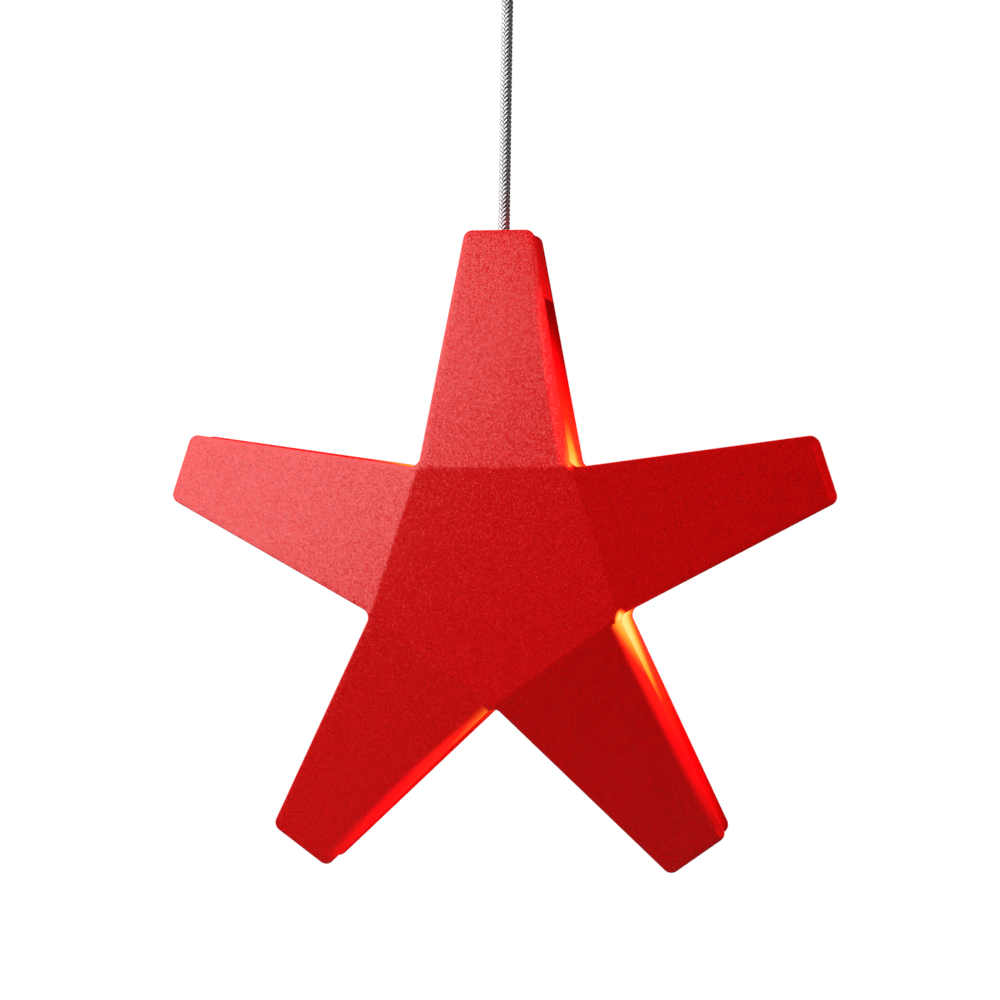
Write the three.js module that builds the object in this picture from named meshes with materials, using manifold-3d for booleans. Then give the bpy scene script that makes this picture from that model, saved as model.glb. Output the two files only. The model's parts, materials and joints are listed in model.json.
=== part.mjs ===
// Advent star: two folded sheet-metal stars back to back, hung on a textile cord and lit from inside.
// Millimetres. +Z is up, +X is to the right of the star's front, +Y runs from its front to its back.
// The origin is the middle of the ceiling plate's flat top face, so everything hangs below zero.
import * as THREE from 'three';
import { mergeVertices } from 'three/addons/utils/BufferGeometryUtils.js';
import Module from 'manifold-3d';

const degrees = Math.PI / 180;

// Fits shared by all pieces
const gap = 0.3; // between two pieces that touch or screw into each other
const cordPlay = 0.45; // round the cord in the bores that it passes
const overrun = 1; // how far a cutting tool reaches past what it cuts
const weldReach = 0.0005; // corners closer than this are one corner

// Folded plates
const armCount = 5;
const notchRadius = 85; // middle of the star to each sharp inner corner
const armReach = 223.6; // middle of the star to the flat end of an arm
const armEndWidth = 45;
const rootDepth = 74.6; // over the two flat faces in the middle
const endDepth = 41; // over the two faces at the end of an arm
const plateSheet = 1.2;
const rollWidth = 5.2; // the margin that is rolled back along every edge
const rollAngle = 3 * degrees;
const endCornerCore = 0.8; // corner radius of an arm's end where the rolled margin starts
const notchFillet = 6;
const rollShares = [0, 0.34, 0.67, 1];

// Posts that join the plates, in the roots of all arms but the top one
const postRadius = 4;
const postInset = 10.8; // from the fold line inwards
const postFootRadius = 7;
const postFootSheet = 1.5;
const postThreadDepth = 12;
const rearScrewRadius = 1.9;
const rearScrewHeadRadius = 3.8;
const rearScrewHeadHeight = 2.2;
const rearScrewLength = 10; // below its head

// Strap that closes the end of the top arm
const strapSheet = 1.5;
const strapInset = 0.6; // from the plates' outline
const strapLeg = 44;
const tabSideInset = 8.5; // from the side of the arm's end
const tabHeight = 14;
const tabScrewInset = 4;
const tabScrewDrop = 9; // from the end of the arm
const tabScrewRadius = 1.4;
const tabScrewHeadRadius = 2.7;
const tabScrewHeadHeight = 1.6;
const tabScrewLength = 5;

// Cord
const cordRadius = 3.9;
const coreRadius = 1.1;
const coreSpacing = 2.9; // between the middles of the two cores
const cordEndPlay = 0.9; // from the swing axis to each cut end of the cord
// The free cord's line: sideways, and down from the swing axis
const cordRoute = [
  [0, 0.9], [0, 6], [0.4, 12], [1, 19], [1.7, 27], [2.1, 36], [1.95, 46], [1.8, 58], [1.65, 72],
  [1.45, 88], [1.25, 106], [1.05, 124], [0.85, 142], [0.63, 160], [0.42, 176], [0.28, 188],
  [0.1, 195], [0, 203],
];

// Grommet and grip at the top of the star
const grommetWall = 1.1;
const grommetRimRadius = 7.4;
const grommetRimHeight = 0.8;
const gripFlangeRadius = 8.5;
const gripFlangeHeight = 2.5;
const gripBodyRadius = 7.4;
const gripHeight = 20;
const gripCordDepth = 12.2; // how far the cord reaches into the grip
const gripScrewRadius = 2;
const gripScrewDrop = 7.5; // from the grip's top

// Stem tube between the grip and the lamp holder
const stemRadius = 4.9;
const stemWall = 1.4;
const stemGrip = 6.5; // how far the tube reaches into each end piece
const nutAcross = 14; // across the flats
const nutHeight = 3.5;

// Lamp holder
const holderRadius = 14.5;
const holderWall = 1.6;
const holderLength = 44;
const holderMouthHeight = 29; // above the middle of the star
const shelfHeight = 24; // above the mouth
const shelfThickness = 2;
const shelfRadius = 10.5;
const capHeight = 24;
const capSkirt = 6;
const capShoulderRadius = 11.5;
const capShoulderHeight = 14;
const insertThickness = 12;
const shellRadius = 7.65;
const shellWall = 0.4;
const shellLength = 22;
const shellFlangeRadius = 10.1;
const shellFlangeSheet = 0.5;
const contactRadius = 3.2;
const contactSheet = 0.8;
const contactShankRadius = 1.3;
const contactShankLength = 9;
const terminalWidth = 5;
const terminalDepth = 6;
const terminalHeight = 6.5;
const terminalOffset = 6.2;
const terminalBoreDepth = 4.3;
const terminalScrewRadius = 1.2;
const terminalScrewHeadRadius = 2.2;
const terminalScrewHeadHeight = 1.4;

// Bulb
const globeRadius = 22.5;
const globeWall = 0.8;
const bulbNeckRadius = 8.4;
const bulbNeckHeight = 8;
const bulbCapRadius = 6.85;
const bulbCapWall = 0.9;
const bulbCapLength = 19;
const threadDepth = 0.45;
const threadTurns = 6;
const insulatorHeight = 3.2;
const insulatorTopRadius = 3.4;
const tipContactRadius = 2.4;
const tipContactHeight = 1.2;
const bulbStemRadius = 2.4;
const bulbStemLength = 26;
const filamentRadius = 0.45;
const filamentReach = 9;
const filamentDrop = 8;

// Ceiling fitting
const ceilingPlateRadius = 36;
const ceilingPlateSheet = 2;
const fixingHoleRadius = 2.4;
const fixingHoleSpacing = 52;
const cupRadius = 42;
const cupHeight = 46;
const cupWall = 2;
const cupCorner = 12;
const cupRimDrop = 0.5; // from the ceiling
const hookWireRadius = 1.75;
const hookLoopRadius = 5.6;
const hookBaseRadius = 6;
const hookBaseSheet = 1.5;
const hookRouteShares = [
  [0, 2], [0, 1.55], [0.4, 1.1], [0.86, 0.5], [1, -0.1], [0.7, -0.72],
  [0, -1], [-0.7, -0.72], [-1, 0], [-0.88, 0.45],
];
const hangerEyeRadius = 5.6;
const hangerBarRadius = 1.4;
const hangerRadius = 7.5;
const hangerHeight = 10;
const hangerBoreDepth = 8;
const hangerWindowRadius = 3;
const hangerCordDepth = 3; // how far the cord reaches into the hanger
const tailBendShares = [[0, 0], [0.06, 0.45], [0.45, 0.92], [1.2, 1]];
const neckRadius = 7;
const neckRise = 1; // above its nut
const collarRadius = 10;
const collarHeight = 6.5;
const mouthDepth = 6; // below the swing axis
const mouthRadius = 7.3;
const mouthRimRadius = 8.6;
const mouthThroatRadius = 5.7;
const swingAxisDrop = 4; // below the cup
const glandNutRadius = 10.5;
const glandNutHeight = 3.5;
const setScrewRadius = 1.2;
const setScrewDrop = 1.9; // below the cup
const blockLength = 15;
const blockWidth = 14;
const blockHeight = 12;
const blockOffset = 12.5; // from the hook to its near side
const blockPortSpacing = 6;
const blockPortInset = 4.5;
const blockPortDepth = 4;
const blockScrewRadius = 1.5;
const blockScrewHeadRadius = 2.8;
const blockScrewHeadHeight = 1.6;

// Fineness of round shapes
const fineSides = 28;
const plainSides = 20;
const smallSides = 12;
const wireSides = 8;

// Materials
const redCoat = new THREE.MeshStandardMaterial({ color: 0xb80d10, roughness: 0.55, metalness: 0.1 });
const zincSteel = new THREE.MeshStandardMaterial({ color: 0xb9bcc0, roughness: 0.35, metalness: 1 });
const brass = new THREE.MeshStandardMaterial({ color: 0xc9a24c, roughness: 0.35, metalness: 1 });
const nickel = new THREE.MeshStandardMaterial({ color: 0xc8c6c0, roughness: 0.3, metalness: 1 });
const silverTextile = new THREE.MeshStandardMaterial({ color: 0xa9a9ab, roughness: 0.9, metalness: 0 });
const brownSleeve = new THREE.MeshStandardMaterial({ color: 0x5a3420, roughness: 0.5, metalness: 0 });
const blueSleeve = new THREE.MeshStandardMaterial({ color: 0x2456a8, roughness: 0.5, metalness: 0 });
const blackPlastic = new THREE.MeshStandardMaterial({ color: 0x1b1b1c, roughness: 0.45, metalness: 0 });
const whitePlastic = new THREE.MeshStandardMaterial({ color: 0xe9e9e6, roughness: 0.4, metalness: 0 });
const steatite = new THREE.MeshStandardMaterial({ color: 0xe6e0d2, roughness: 0.6, metalness: 0 });
const opalGlass = new THREE.MeshStandardMaterial({ color: 0xfff3df, roughness: 0.2, metalness: 0 });
const clearGlass = new THREE.MeshStandardMaterial({ color: 0xf4f7f7, roughness: 0.05, metalness: 0 });
const tungsten = new THREE.MeshStandardMaterial({ color: 0xf2b45a, roughness: 0.4, metalness: 1 });

const wasm = await Module();
wasm.setup();

// A closed body from corners and triangles, with its faces turned outwards.
function closedBody(corners, triangles) {
  let volume = 0;
  for (const [a, b, c] of triangles) {
    volume += new THREE.Vector3(...corners[a]).dot(
      new THREE.Vector3(...corners[b]).cross(new THREE.Vector3(...corners[c])),
    );
  }
  const turned = volume < 0 ? triangles.map(([a, b, c]) => [a, c, b]) : triangles;
  const body = new THREE.BufferGeometry();
  body.setAttribute('position', new THREE.Float32BufferAttribute(corners.flat(), 3));
  body.setIndex(turned.flat());
  return body;
}

// Joins equal corners and drops the triangles that shrink to a line on an axis.
function cleaned(geometry) {
  const bare = geometry.clone();
  bare.deleteAttribute('normal');
  bare.deleteAttribute('uv');
  const welded = mergeVertices(bare, weldReach);
  const place = welded.attributes.position;
  const corners = [];
  for (let i = 0; i < place.count; i += 1) {
    corners.push([place.getX(i), place.getY(i), place.getZ(i)]);
  }
  const triangles = [];
  for (let i = 0; i < welded.index.count; i += 3) {
    const [a, b, c] = [0, 1, 2].map((step) => welded.index.getX(i + step));
    if (a !== b && b !== c && c !== a) {
      triangles.push([a, b, c]);
    }
  }
  return closedBody(corners, triangles);
}

function toSolid(body) {
  return new wasm.Manifold(new wasm.Mesh({
    numProp: 3,
    vertProperties: new Float32Array(body.attributes.position.array),
    triVerts: Uint32Array.from(body.index.array),
  }));
}

function fromSolid(solid) {
  const mesh = solid.getMesh();
  const corners = [];
  for (let i = 0; i < mesh.vertProperties.length; i += mesh.numProp) {
    corners.push([...mesh.vertProperties.slice(i, i + 3)]);
  }
  const triangles = [];
  for (let i = 0; i < mesh.triVerts.length; i += 3) {
    triangles.push([...mesh.triVerts.slice(i, i + 3)]);
  }
  return closedBody(corners, triangles);
}

function cut(body, ...tools) {
  return fromSolid(tools.reduce((left, tool) => left.subtract(toSolid(tool)), toSolid(body)));
}

function join(body, ...others) {
  return fromSolid(others.reduce((whole, other) => whole.add(toSolid(other)), toSolid(body)));
}

// A body turned about Z from a closed profile of [radius, height].
function turned(profile, sides = plainSides) {
  const points = [...profile, profile[0]].map(([radius, height]) => new THREE.Vector2(radius, height));
  return cleaned(new THREE.LatheGeometry(points, sides).rotateX(Math.PI / 2));
}

function rod(radius, low, high, sides = plainSides) {
  return turned([[0, low], [radius, low], [radius, high], [0, high]], sides);
}

function sleeve(bore, radius, low, high, sides = plainSides) {
  return turned([[bore, low], [radius, low], [radius, high], [bore, high]], sides);
}

function block(lowX, lowY, lowZ, highX, highY, highZ) {
  const body = new THREE.BoxGeometry(highX - lowX, highY - lowY, highZ - lowZ);
  return cleaned(body.translate((lowX + highX) / 2, (lowY + highY) / 2, (lowZ + highZ) / 2));
}

// A rod or other body along Z is laid along +Y, or along +X.
function alongY(body) {
  return body.rotateX(-Math.PI / 2);
}

function alongX(body) {
  return body.rotateY(Math.PI / 2);
}

// A round wire or tube through points.
function wire(points, radius, sides, steps) {
  const corners = [];
  for (let i = 0; i < sides; i += 1) {
    const turn = (2 * Math.PI * i) / sides;
    corners.push(new THREE.Vector2(radius * Math.cos(turn), radius * Math.sin(turn)));
  }
  const path = new THREE.CatmullRomCurve3(points.map((point) => new THREE.Vector3(...point)));
  const options = { steps, bevelEnabled: false, extrudePath: path };
  return cleaned(new THREE.ExtrudeGeometry(new THREE.Shape(corners), options));
}

// A hexagonal nut with a round bore.
function nut(across, bore, low, height) {
  const outline = [];
  const hole = new THREE.Path();
  for (let i = 0; i < 6; i += 1) {
    const turn = (Math.PI * i) / 3;
    const corner = across / Math.sqrt(3);
    outline.push(new THREE.Vector2(corner * Math.cos(turn), corner * Math.sin(turn)));
  }
  hole.absarc(0, 0, bore, 0, 2 * Math.PI, true);
  const shape = new THREE.Shape(outline);
  shape.holes.push(hole);
  const options = { depth: height, bevelEnabled: false, curveSegments: plainSides };
  return cleaned(new THREE.ExtrudeGeometry(shape, options).translate(0, 0, low));
}

function piece(group, name, body, material) {
  const mesh = new THREE.Mesh(body, material.clone());
  mesh.name = name;
  group.add(mesh);
  return mesh;
}

// The star's outline
const armTurn = (2 * Math.PI) / armCount;
const halfTurn = armTurn / 2;
const apothem = notchRadius * Math.cos(halfTurn); // middle of the star to each fold
const notchHalfWidth = notchRadius * Math.sin(halfTurn);
const taper = Math.atan2(notchHalfWidth - armEndWidth / 2, armReach - apothem);
const endCorner = endCornerCore + rollWidth;
const foldSlope = (rootDepth - endDepth) / 2 / (armReach - apothem);
const rollRadius = rollWidth / Math.sin(rollAngle);
const notchOpening = halfTurn + taper; // half the angle between two arms' edges
const filletDistance = notchFillet / Math.sin(notchOpening);
const filletSweep = Math.PI / 2 - notchOpening;
const foldLean = Math.PI / 2 - halfTurn;
const foldReach = filletDistance * Math.sin(foldLean);
const foldCrossing = foldLean - Math.asin(foldReach / (notchFillet + rollWidth));
const cornerSteps = 4;

// Half the arm's width, at a distance along it, with the outline drawn in.
function armHalfWidth(along, inset) {
  return notchHalfWidth - (inset + (along - apothem) * Math.sin(taper)) / Math.cos(taper);
}

// An arm's own [along, across] becomes the star's [x, z].
function onArm(arm, along, across) {
  const turn = arm * armTurn;
  return [
    along * Math.sin(turn) + across * Math.cos(turn),
    along * Math.cos(turn) - across * Math.sin(turn),
  ];
}

// The rounded corners of an arm's end: the left one, then the right one.
function endArc(arm, inset) {
  const middle = armReach - endCorner;
  const across = armHalfWidth(middle, endCorner);
  const points = [];
  for (const side of [-1, 1]) {
    for (let i = 0; i <= cornerSteps; i += 1) {
      const step = side < 0 ? cornerSteps - i : i;
      const turn = ((Math.PI / 2 - taper) * step) / cornerSteps;
      const radius = endCorner - inset;
      const aside = side * (across + radius * Math.sin(turn));
      points.push(onArm(arm, middle + radius * Math.cos(turn), aside));
    }
  }
  return points;
}

// The fillet between an arm and the next one, with a point where each fold line meets it.
function notchArc(arm, inset) {
  const halfway = (filletSweep + foldCrossing) / 2;
  const turns = [-filletSweep, -halfway, -foldCrossing, foldCrossing, halfway, filletSweep];
  const radius = notchFillet + inset;
  return turns.map((turn) => onArm(
    arm + 1 / 2,
    notchRadius + filletDistance - radius * Math.cos(turn),
    radius * Math.sin(turn),
  ));
}

const endPoints = 2 * (cornerSteps + 1);
const notchPoints = 6;
const armPoints = endPoints + notchPoints;

function starRing(inset) {
  const points = [];
  for (let arm = 0; arm < armCount; arm += 1) {
    points.push(...endArc(arm, inset), ...notchArc(arm, inset));
  }
  return points;
}

// How far the folded arm falls back from the flat middle.
function foldDrop([x, z]) {
  let beyond = 0;
  for (let arm = 0; arm < armCount; arm += 1) {
    beyond = Math.max(beyond, x * Math.sin(arm * armTurn) + z * Math.cos(arm * armTurn) - apothem);
  }
  return beyond * foldSlope;
}

// How far the rolled margin falls back, at a distance from the edge.
function rollDrop(inset) {
  const reach = Math.max(0, rollWidth - inset);
  return rollRadius - Math.sqrt(rollRadius ** 2 - reach ** 2);
}

// From the star's middle plane to a plate's inner face.
function innerHalfDepth(point, inset) {
  return rootDepth / 2 - plateSheet - foldDrop(point) - rollDrop(inset);
}

// The front plate: rolled margins in rings, then the flat middle and the five arms.
function foldedPlate() {
  const rings = rollShares.map((share) => share * rollWidth);
  const count = armCount * armPoints;
  const corners = [];
  for (const layer of [plateSheet, 0]) {
    for (const inset of rings) {
      for (const point of starRing(inset)) {
        corners.push([point[0], -(innerHalfDepth(point, inset) + layer), point[1]]);
      }
    }
  }
  const layerSize = rings.length * count;
  const faces = [];
  for (let ring = 0; ring < rings.length - 1; ring += 1) {
    for (let i = 0; i < count; i += 1) {
      const [a, b] = [ring * count + i, ring * count + ((i + 1) % count)];
      faces.push([a, b, b + count], [a, b + count, a + count]);
    }
  }
  const lastRing = (rings.length - 1) * count;
  const flat = corners.slice(lastRing, lastRing + count).map(([x, , z]) => new THREE.Vector2(x, z));
  const regions = [[]];
  for (let arm = 0; arm < armCount; arm += 1) {
    const start = arm * armPoints;
    const before = (start + count - notchPoints) % count;
    regions[0].push(start + endPoints + 2, start + endPoints + 3);
    const region = [before + 3, before + 4, before + 5];
    for (let i = 0; i < endPoints + 3; i += 1) {
      region.push(start + i);
    }
    regions.push(region);
  }
  for (const region of regions) {
    const outline = region.map((i) => flat[i]);
    for (const triangle of THREE.ShapeUtils.triangulateShape(outline, [])) {
      faces.push(triangle.map((i) => lastRing + region[i]));
    }
  }
  const towards = new THREE.Vector3();
  const triangles = [];
  for (const [a, b, c] of faces) {
    const [p, q, r] = [a, b, c].map((i) => new THREE.Vector3(...corners[i]));
    towards.copy(q).sub(p).cross(r.clone().sub(p));
    const [front, back] = towards.y < 0 ? [[a, b, c], [a, c, b]] : [[a, c, b], [a, b, c]];
    triangles.push(front, back.map((i) => i + layerSize));
  }
  for (let i = 0; i < count; i += 1) {
    const next = (i + 1) % count;
    triangles.push([i, next + layerSize, i + layerSize], [i, next, next + layerSize]);
  }
  return closedBody(corners, triangles);
}

// The strap: a band that follows the outline of the top arm's end, with two tabs behind its top.
const tabHalfWidth = armEndWidth / 2 - tabSideInset;
const strapUnder = armReach - strapInset - strapSheet;
const tabTopInset = strapInset + strapSheet / 2;

function strapLine(inset) {
  const low = armReach - strapLeg;
  const half = armHalfWidth(low, inset);
  return [[-half, low], ...endArc(0, inset), [half, low]];
}

function strapBand() {
  const corners = [];
  for (const inset of [strapInset, strapInset + strapSheet]) {
    for (const side of [-1, 1]) {
      for (const point of strapLine(inset)) {
        corners.push([point[0], side * (innerHalfDepth(point, inset) - gap), point[1]]);
      }
    }
  }
  const count = endPoints + 2;
  const [outerFront, outerRear, innerFront, innerRear] = [0, 1, 2, 3].map((row) => row * count);
  const triangles = [];
  const quad = (a, b, c, d) => triangles.push([a, b, c], [a, c, d]);
  for (let i = 0; i < count - 1; i += 1) {
    quad(outerFront + i, outerFront + i + 1, outerRear + i + 1, outerRear + i);
    quad(innerFront + i, innerRear + i, innerRear + i + 1, innerFront + i + 1);
    quad(outerFront + i, innerFront + i, innerFront + i + 1, outerFront + i + 1);
    quad(outerRear + i, outerRear + i + 1, innerRear + i + 1, innerRear + i);
  }
  const last = count - 1;
  quad(outerFront, outerRear, innerRear, innerFront);
  quad(outerFront + last, innerFront + last, innerRear + last, outerRear + last);
  return closedBody(corners, triangles);
}

function tabFace(z) {
  return innerHalfDepth([0, z], rollWidth) - rollDrop(tabTopInset) - gap;
}

function strapTab(side) {
  const heights = [armReach - tabTopInset, armReach - tabHeight];
  const corners = [];
  for (const z of heights) {
    for (const depth of [tabFace(z), tabFace(z) - strapSheet]) {
      corners.push([-tabHalfWidth, side * depth, z], [tabHalfWidth, side * depth, z]);
    }
  }
  const triangles = [
    [0, 2, 3], [0, 3, 1], [4, 5, 7], [4, 7, 6], [0, 1, 5], [0, 5, 4],
    [2, 6, 7], [2, 7, 3], [0, 4, 6], [0, 6, 2], [1, 3, 7], [1, 7, 5],
  ];
  return closedBody(corners, triangles);
}

// The star and what it carries, measured from the middle of the star
const star = new THREE.Group();

const grommetRadius = cordRadius + cordPlay + grommetWall;
const webHole = grommetRadius + gap;
const tabScrewX = tabHalfWidth - tabScrewInset;
const tabScrewZ = armReach - tabScrewDrop;
const postRing = apothem - postInset;
const postArms = [1, 2, 3, 4];

const tabScrewStart = tabFace(tabScrewZ) - tabScrewLength / 2;
const tabDrills = [-1, 1].map((side) => alongY(
  rod(tabScrewRadius + gap, tabScrewStart - overrun, rootDepth / 2 + overrun, smallSides),
).translate(side * tabScrewX, 0, tabScrewZ));
const postDrills = postArms.map((arm) => {
  const [x, z] = onArm(arm, postRing, 0);
  return alongY(rod(rearScrewRadius + gap, 0, rootDepth / 2 + overrun, smallSides)).translate(x, 0, z);
});

const rearFace = foldedPlate().rotateZ(Math.PI);
piece(star, 'front_plate', foldedPlate(), redCoat);
piece(star, 'rear_plate', cut(rearFace, ...postDrills, ...tabDrills), redCoat);

const webDrill = rod(webHole, strapUnder - overrun, armReach + overrun);
const strap = join(strapBand(), strapTab(-1), strapTab(1));
piece(star, 'top_strap', cut(strap, webDrill, ...tabDrills), redCoat);

for (const side of [-1, 1]) {
  const seat = rootDepth / 2 - foldDrop([0, tabScrewZ]);
  const head = seat + gap + tabScrewHeadHeight;
  const profile = [
    [0, head - tabScrewHeadHeight - tabScrewLength],
    [tabScrewRadius, head - tabScrewHeadHeight - tabScrewLength],
    [tabScrewRadius, seat + gap],
    [tabScrewHeadRadius, seat + gap],
    [tabScrewHeadRadius, head - tabScrewHeadHeight / 2],
    [tabScrewHeadRadius / 2, head],
    [0, head],
  ];
  const screw = alongY(turned(profile, smallSides)).translate(side * tabScrewX, 0, tabScrewZ);
  piece(star, side < 0 ? 'strap_screw_left' : 'strap_screw_right', screw, zincSteel);
}

// Posts and the screws that hold the rear plate to them
for (const arm of postArms) {
  const [x, z] = onArm(arm, postRing, 0);
  const end = rootDepth / 2 - plateSheet - gap;
  const bore = rearScrewRadius + gap;
  const post = [
    [0, -end],
    [postFootRadius, -end],
    [postFootRadius, postFootSheet - end],
    [postRadius, postFootSheet - end],
    [postRadius, end],
    [bore, end],
    [bore, end - postThreadDepth],
    [0, end - postThreadDepth],
  ];
  piece(star, `post_${arm}`, alongY(turned(post, smallSides)).translate(x, 0, z), zincSteel);
  const seat = rootDepth / 2 + gap;
  const screw = [
    [0, seat - rearScrewLength],
    [rearScrewRadius, seat - rearScrewLength],
    [rearScrewRadius, seat],
    [rearScrewHeadRadius, seat],
    [rearScrewHeadRadius, seat + rearScrewHeadHeight / 2],
    [rearScrewHeadRadius / 2, seat + rearScrewHeadHeight],
    [0, seat + rearScrewHeadHeight],
  ];
  piece(star, `rear_screw_${arm}`, alongY(turned(screw, smallSides)).translate(x, 0, z), zincSteel);
}

// Grommet in the strap, and the grip that the strap rests on
const cordBore = cordRadius + cordPlay;
const webTop = armReach - strapInset;
const grommet = [
  [cordBore, strapUnder],
  [grommetRadius, strapUnder],
  [grommetRadius, webTop + gap],
  [grommetRimRadius, webTop + gap],
  [grommetRimRadius, webTop + gap + grommetRimHeight],
  [cordBore, webTop + gap + grommetRimHeight],
];
piece(star, 'cord_grommet', turned(grommet), blackPlastic);

const gripTop = strapUnder - gap;
const cordEnd = gripTop - gripCordDepth;
const stemTop = gripTop - gripHeight + stemGrip;
const gripBottom = gripTop - gripHeight;
const stemBore = stemRadius + gap;
const gripProfile = [
  [cordBore, gripTop],
  [gripFlangeRadius, gripTop],
  [gripFlangeRadius, gripTop - gripFlangeHeight],
  [gripBodyRadius, gripTop - gripFlangeHeight],
  [gripBodyRadius, gripBottom],
  [stemBore, gripBottom],
  [stemBore, stemTop + gap],
  [cordBore, stemTop + gap],
];
const gripScrewZ = gripTop - gripScrewDrop;
const gripDrill = alongY(rod(gripScrewRadius + gap, 0, gripFlangeRadius + overrun, smallSides));
piece(star, 'cord_grip', cut(turned(gripProfile), gripDrill.translate(0, 0, gripScrewZ)), whitePlastic);
const gripScrew = alongY(rod(gripScrewRadius, cordBore, gripBodyRadius, smallSides));
piece(star, 'grip_screw', gripScrew.translate(0, 0, gripScrewZ), whitePlastic);
const gripNutLow = gripBottom - gap - nutHeight;
piece(star, 'grip_nut', nut(nutAcross, stemBore, gripNutLow, nutHeight), zincSteel);

// Lamp holder, from its mouth upwards
const holderTop = holderMouthHeight + holderLength;
const holderBore = holderRadius - holderWall;
const shelfTop = holderMouthHeight + shelfHeight + shelfThickness;
const holderProfile = [
  [holderBore, holderMouthHeight],
  [holderRadius, holderMouthHeight],
  [holderRadius, holderTop],
  [holderBore, holderTop],
  [holderBore, shelfTop],
  [shelfRadius, shelfTop],
  [shelfRadius, shelfTop - shelfThickness],
  [holderBore, shelfTop - shelfThickness],
];
piece(star, 'holder_body', turned(holderProfile, fineSides), blackPlastic);

const capLow = holderTop + gap;
const capTop = capLow + capHeight;
const neckWall = holderWall + stemBore;
const capProfile = [
  [holderBore, capLow],
  [holderRadius, capLow],
  [holderRadius, capLow + capSkirt],
  [capShoulderRadius, capLow + capShoulderHeight],
  [neckWall, capTop - stemGrip],
  [neckWall, capTop],
  [stemBore, capTop],
  [stemBore, capTop - stemGrip - holderWall],
  [capShoulderRadius - holderWall, capLow + capShoulderHeight - holderWall],
  [holderBore, capLow + capSkirt],
];
piece(star, 'holder_cap', turned(capProfile, fineSides), blackPlastic);

const stemLow = capTop - stemGrip;
piece(star, 'stem_tube', sleeve(stemRadius - stemWall, stemRadius, stemLow, stemTop), brass);
piece(star, 'holder_nut', nut(nutAcross, stemBore, capTop + gap, nutHeight), zincSteel);

const insertLow = shelfTop + gap;
const insertTop = insertLow + insertThickness;
const shankBore = contactShankRadius + gap;
const shankTop = shelfTop + contactShankLength;
const insertProfile = [
  [shankBore, insertLow],
  [holderBore - gap, insertLow],
  [holderBore - gap, insertTop],
  [0, insertTop],
  [0, shankTop + gap],
  [shankBore, shankTop + gap],
];
piece(star, 'holder_insert', turned(insertProfile, fineSides), steatite);

const shellBore = shellRadius - shellWall;
const shellProfile = [
  [shellBore, shelfTop - shellLength],
  [shellRadius, shelfTop - shellLength],
  [shellRadius, shelfTop - shellFlangeSheet],
  [shellFlangeRadius, shelfTop - shellFlangeSheet],
  [shellFlangeRadius, shelfTop],
  [shellBore, shelfTop],
];
piece(star, 'screw_shell', turned(shellProfile, fineSides), brass);

const contactLow = shelfTop - contactSheet;
const contactProfile = [
  [0, contactLow],
  [contactRadius, contactLow],
  [contactRadius, shelfTop],
  [contactShankRadius, shelfTop],
  [contactShankRadius, shankTop],
  [0, shankTop],
];
piece(star, 'centre_contact', turned(contactProfile, smallSides), brass);

// Terminals on the insert, their screws, and the two cores that come down the stem
const terminalLow = insertTop + gap;
const terminalTop = terminalLow + terminalHeight;
for (const side of [-1, 1]) {
  const name = side < 0 ? 'live' : 'neutral';
  const x = side * terminalOffset;
  const body = block(
    x - terminalWidth / 2, -terminalDepth / 2, terminalLow,
    x + terminalWidth / 2, terminalDepth / 2, terminalTop,
  );
  const boreLow = terminalTop - terminalBoreDepth;
  const coreDrill = rod(coreRadius + gap, boreLow, terminalTop + overrun, smallSides);
  const screwZ = terminalTop - terminalBoreDepth / 2;
  const screwDrill = alongY(rod(terminalScrewRadius + gap, 0, terminalDepth, smallSides));
  const terminal = cut(body, coreDrill.translate(x, 0, 0), screwDrill.translate(x, 0, screwZ));
  piece(star, `${name}_terminal`, terminal, brass);
  const screwProfile = [
    [0, coreRadius + gap],
    [terminalScrewRadius, coreRadius + gap],
    [terminalScrewRadius, terminalDepth / 2 + gap],
    [terminalScrewHeadRadius, terminalDepth / 2 + gap],
    [terminalScrewHeadRadius, terminalDepth / 2 + gap + terminalScrewHeadHeight],
    [0, terminalDepth / 2 + gap + terminalScrewHeadHeight],
  ];
  const screw = alongY(turned(screwProfile, smallSides)).translate(x, 0, screwZ);
  piece(star, `${name}_terminal_screw`, screw, zincSteel);
  const near = (side * coreSpacing) / 2;
  const fall = (stemLow - terminalTop) / 2; // of the core, below the stem tube, on each side of its bend
  const route = [
    [near, 0, cordEnd - gap],
    [near, 0, (cordEnd + stemLow) / 2],
    [near, 0, stemLow + coreSpacing],
    [near, 0, stemLow],
    [(near + x) / 2, 0, stemLow - fall],
    [x, 0, terminalTop + fall / 2],
    [x, 0, boreLow + gap],
  ];
  const core = wire(route, coreRadius, wireSides, 16);
  piece(star, `${name}_core`, core, side < 0 ? brownSleeve : blueSleeve);
}

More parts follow.
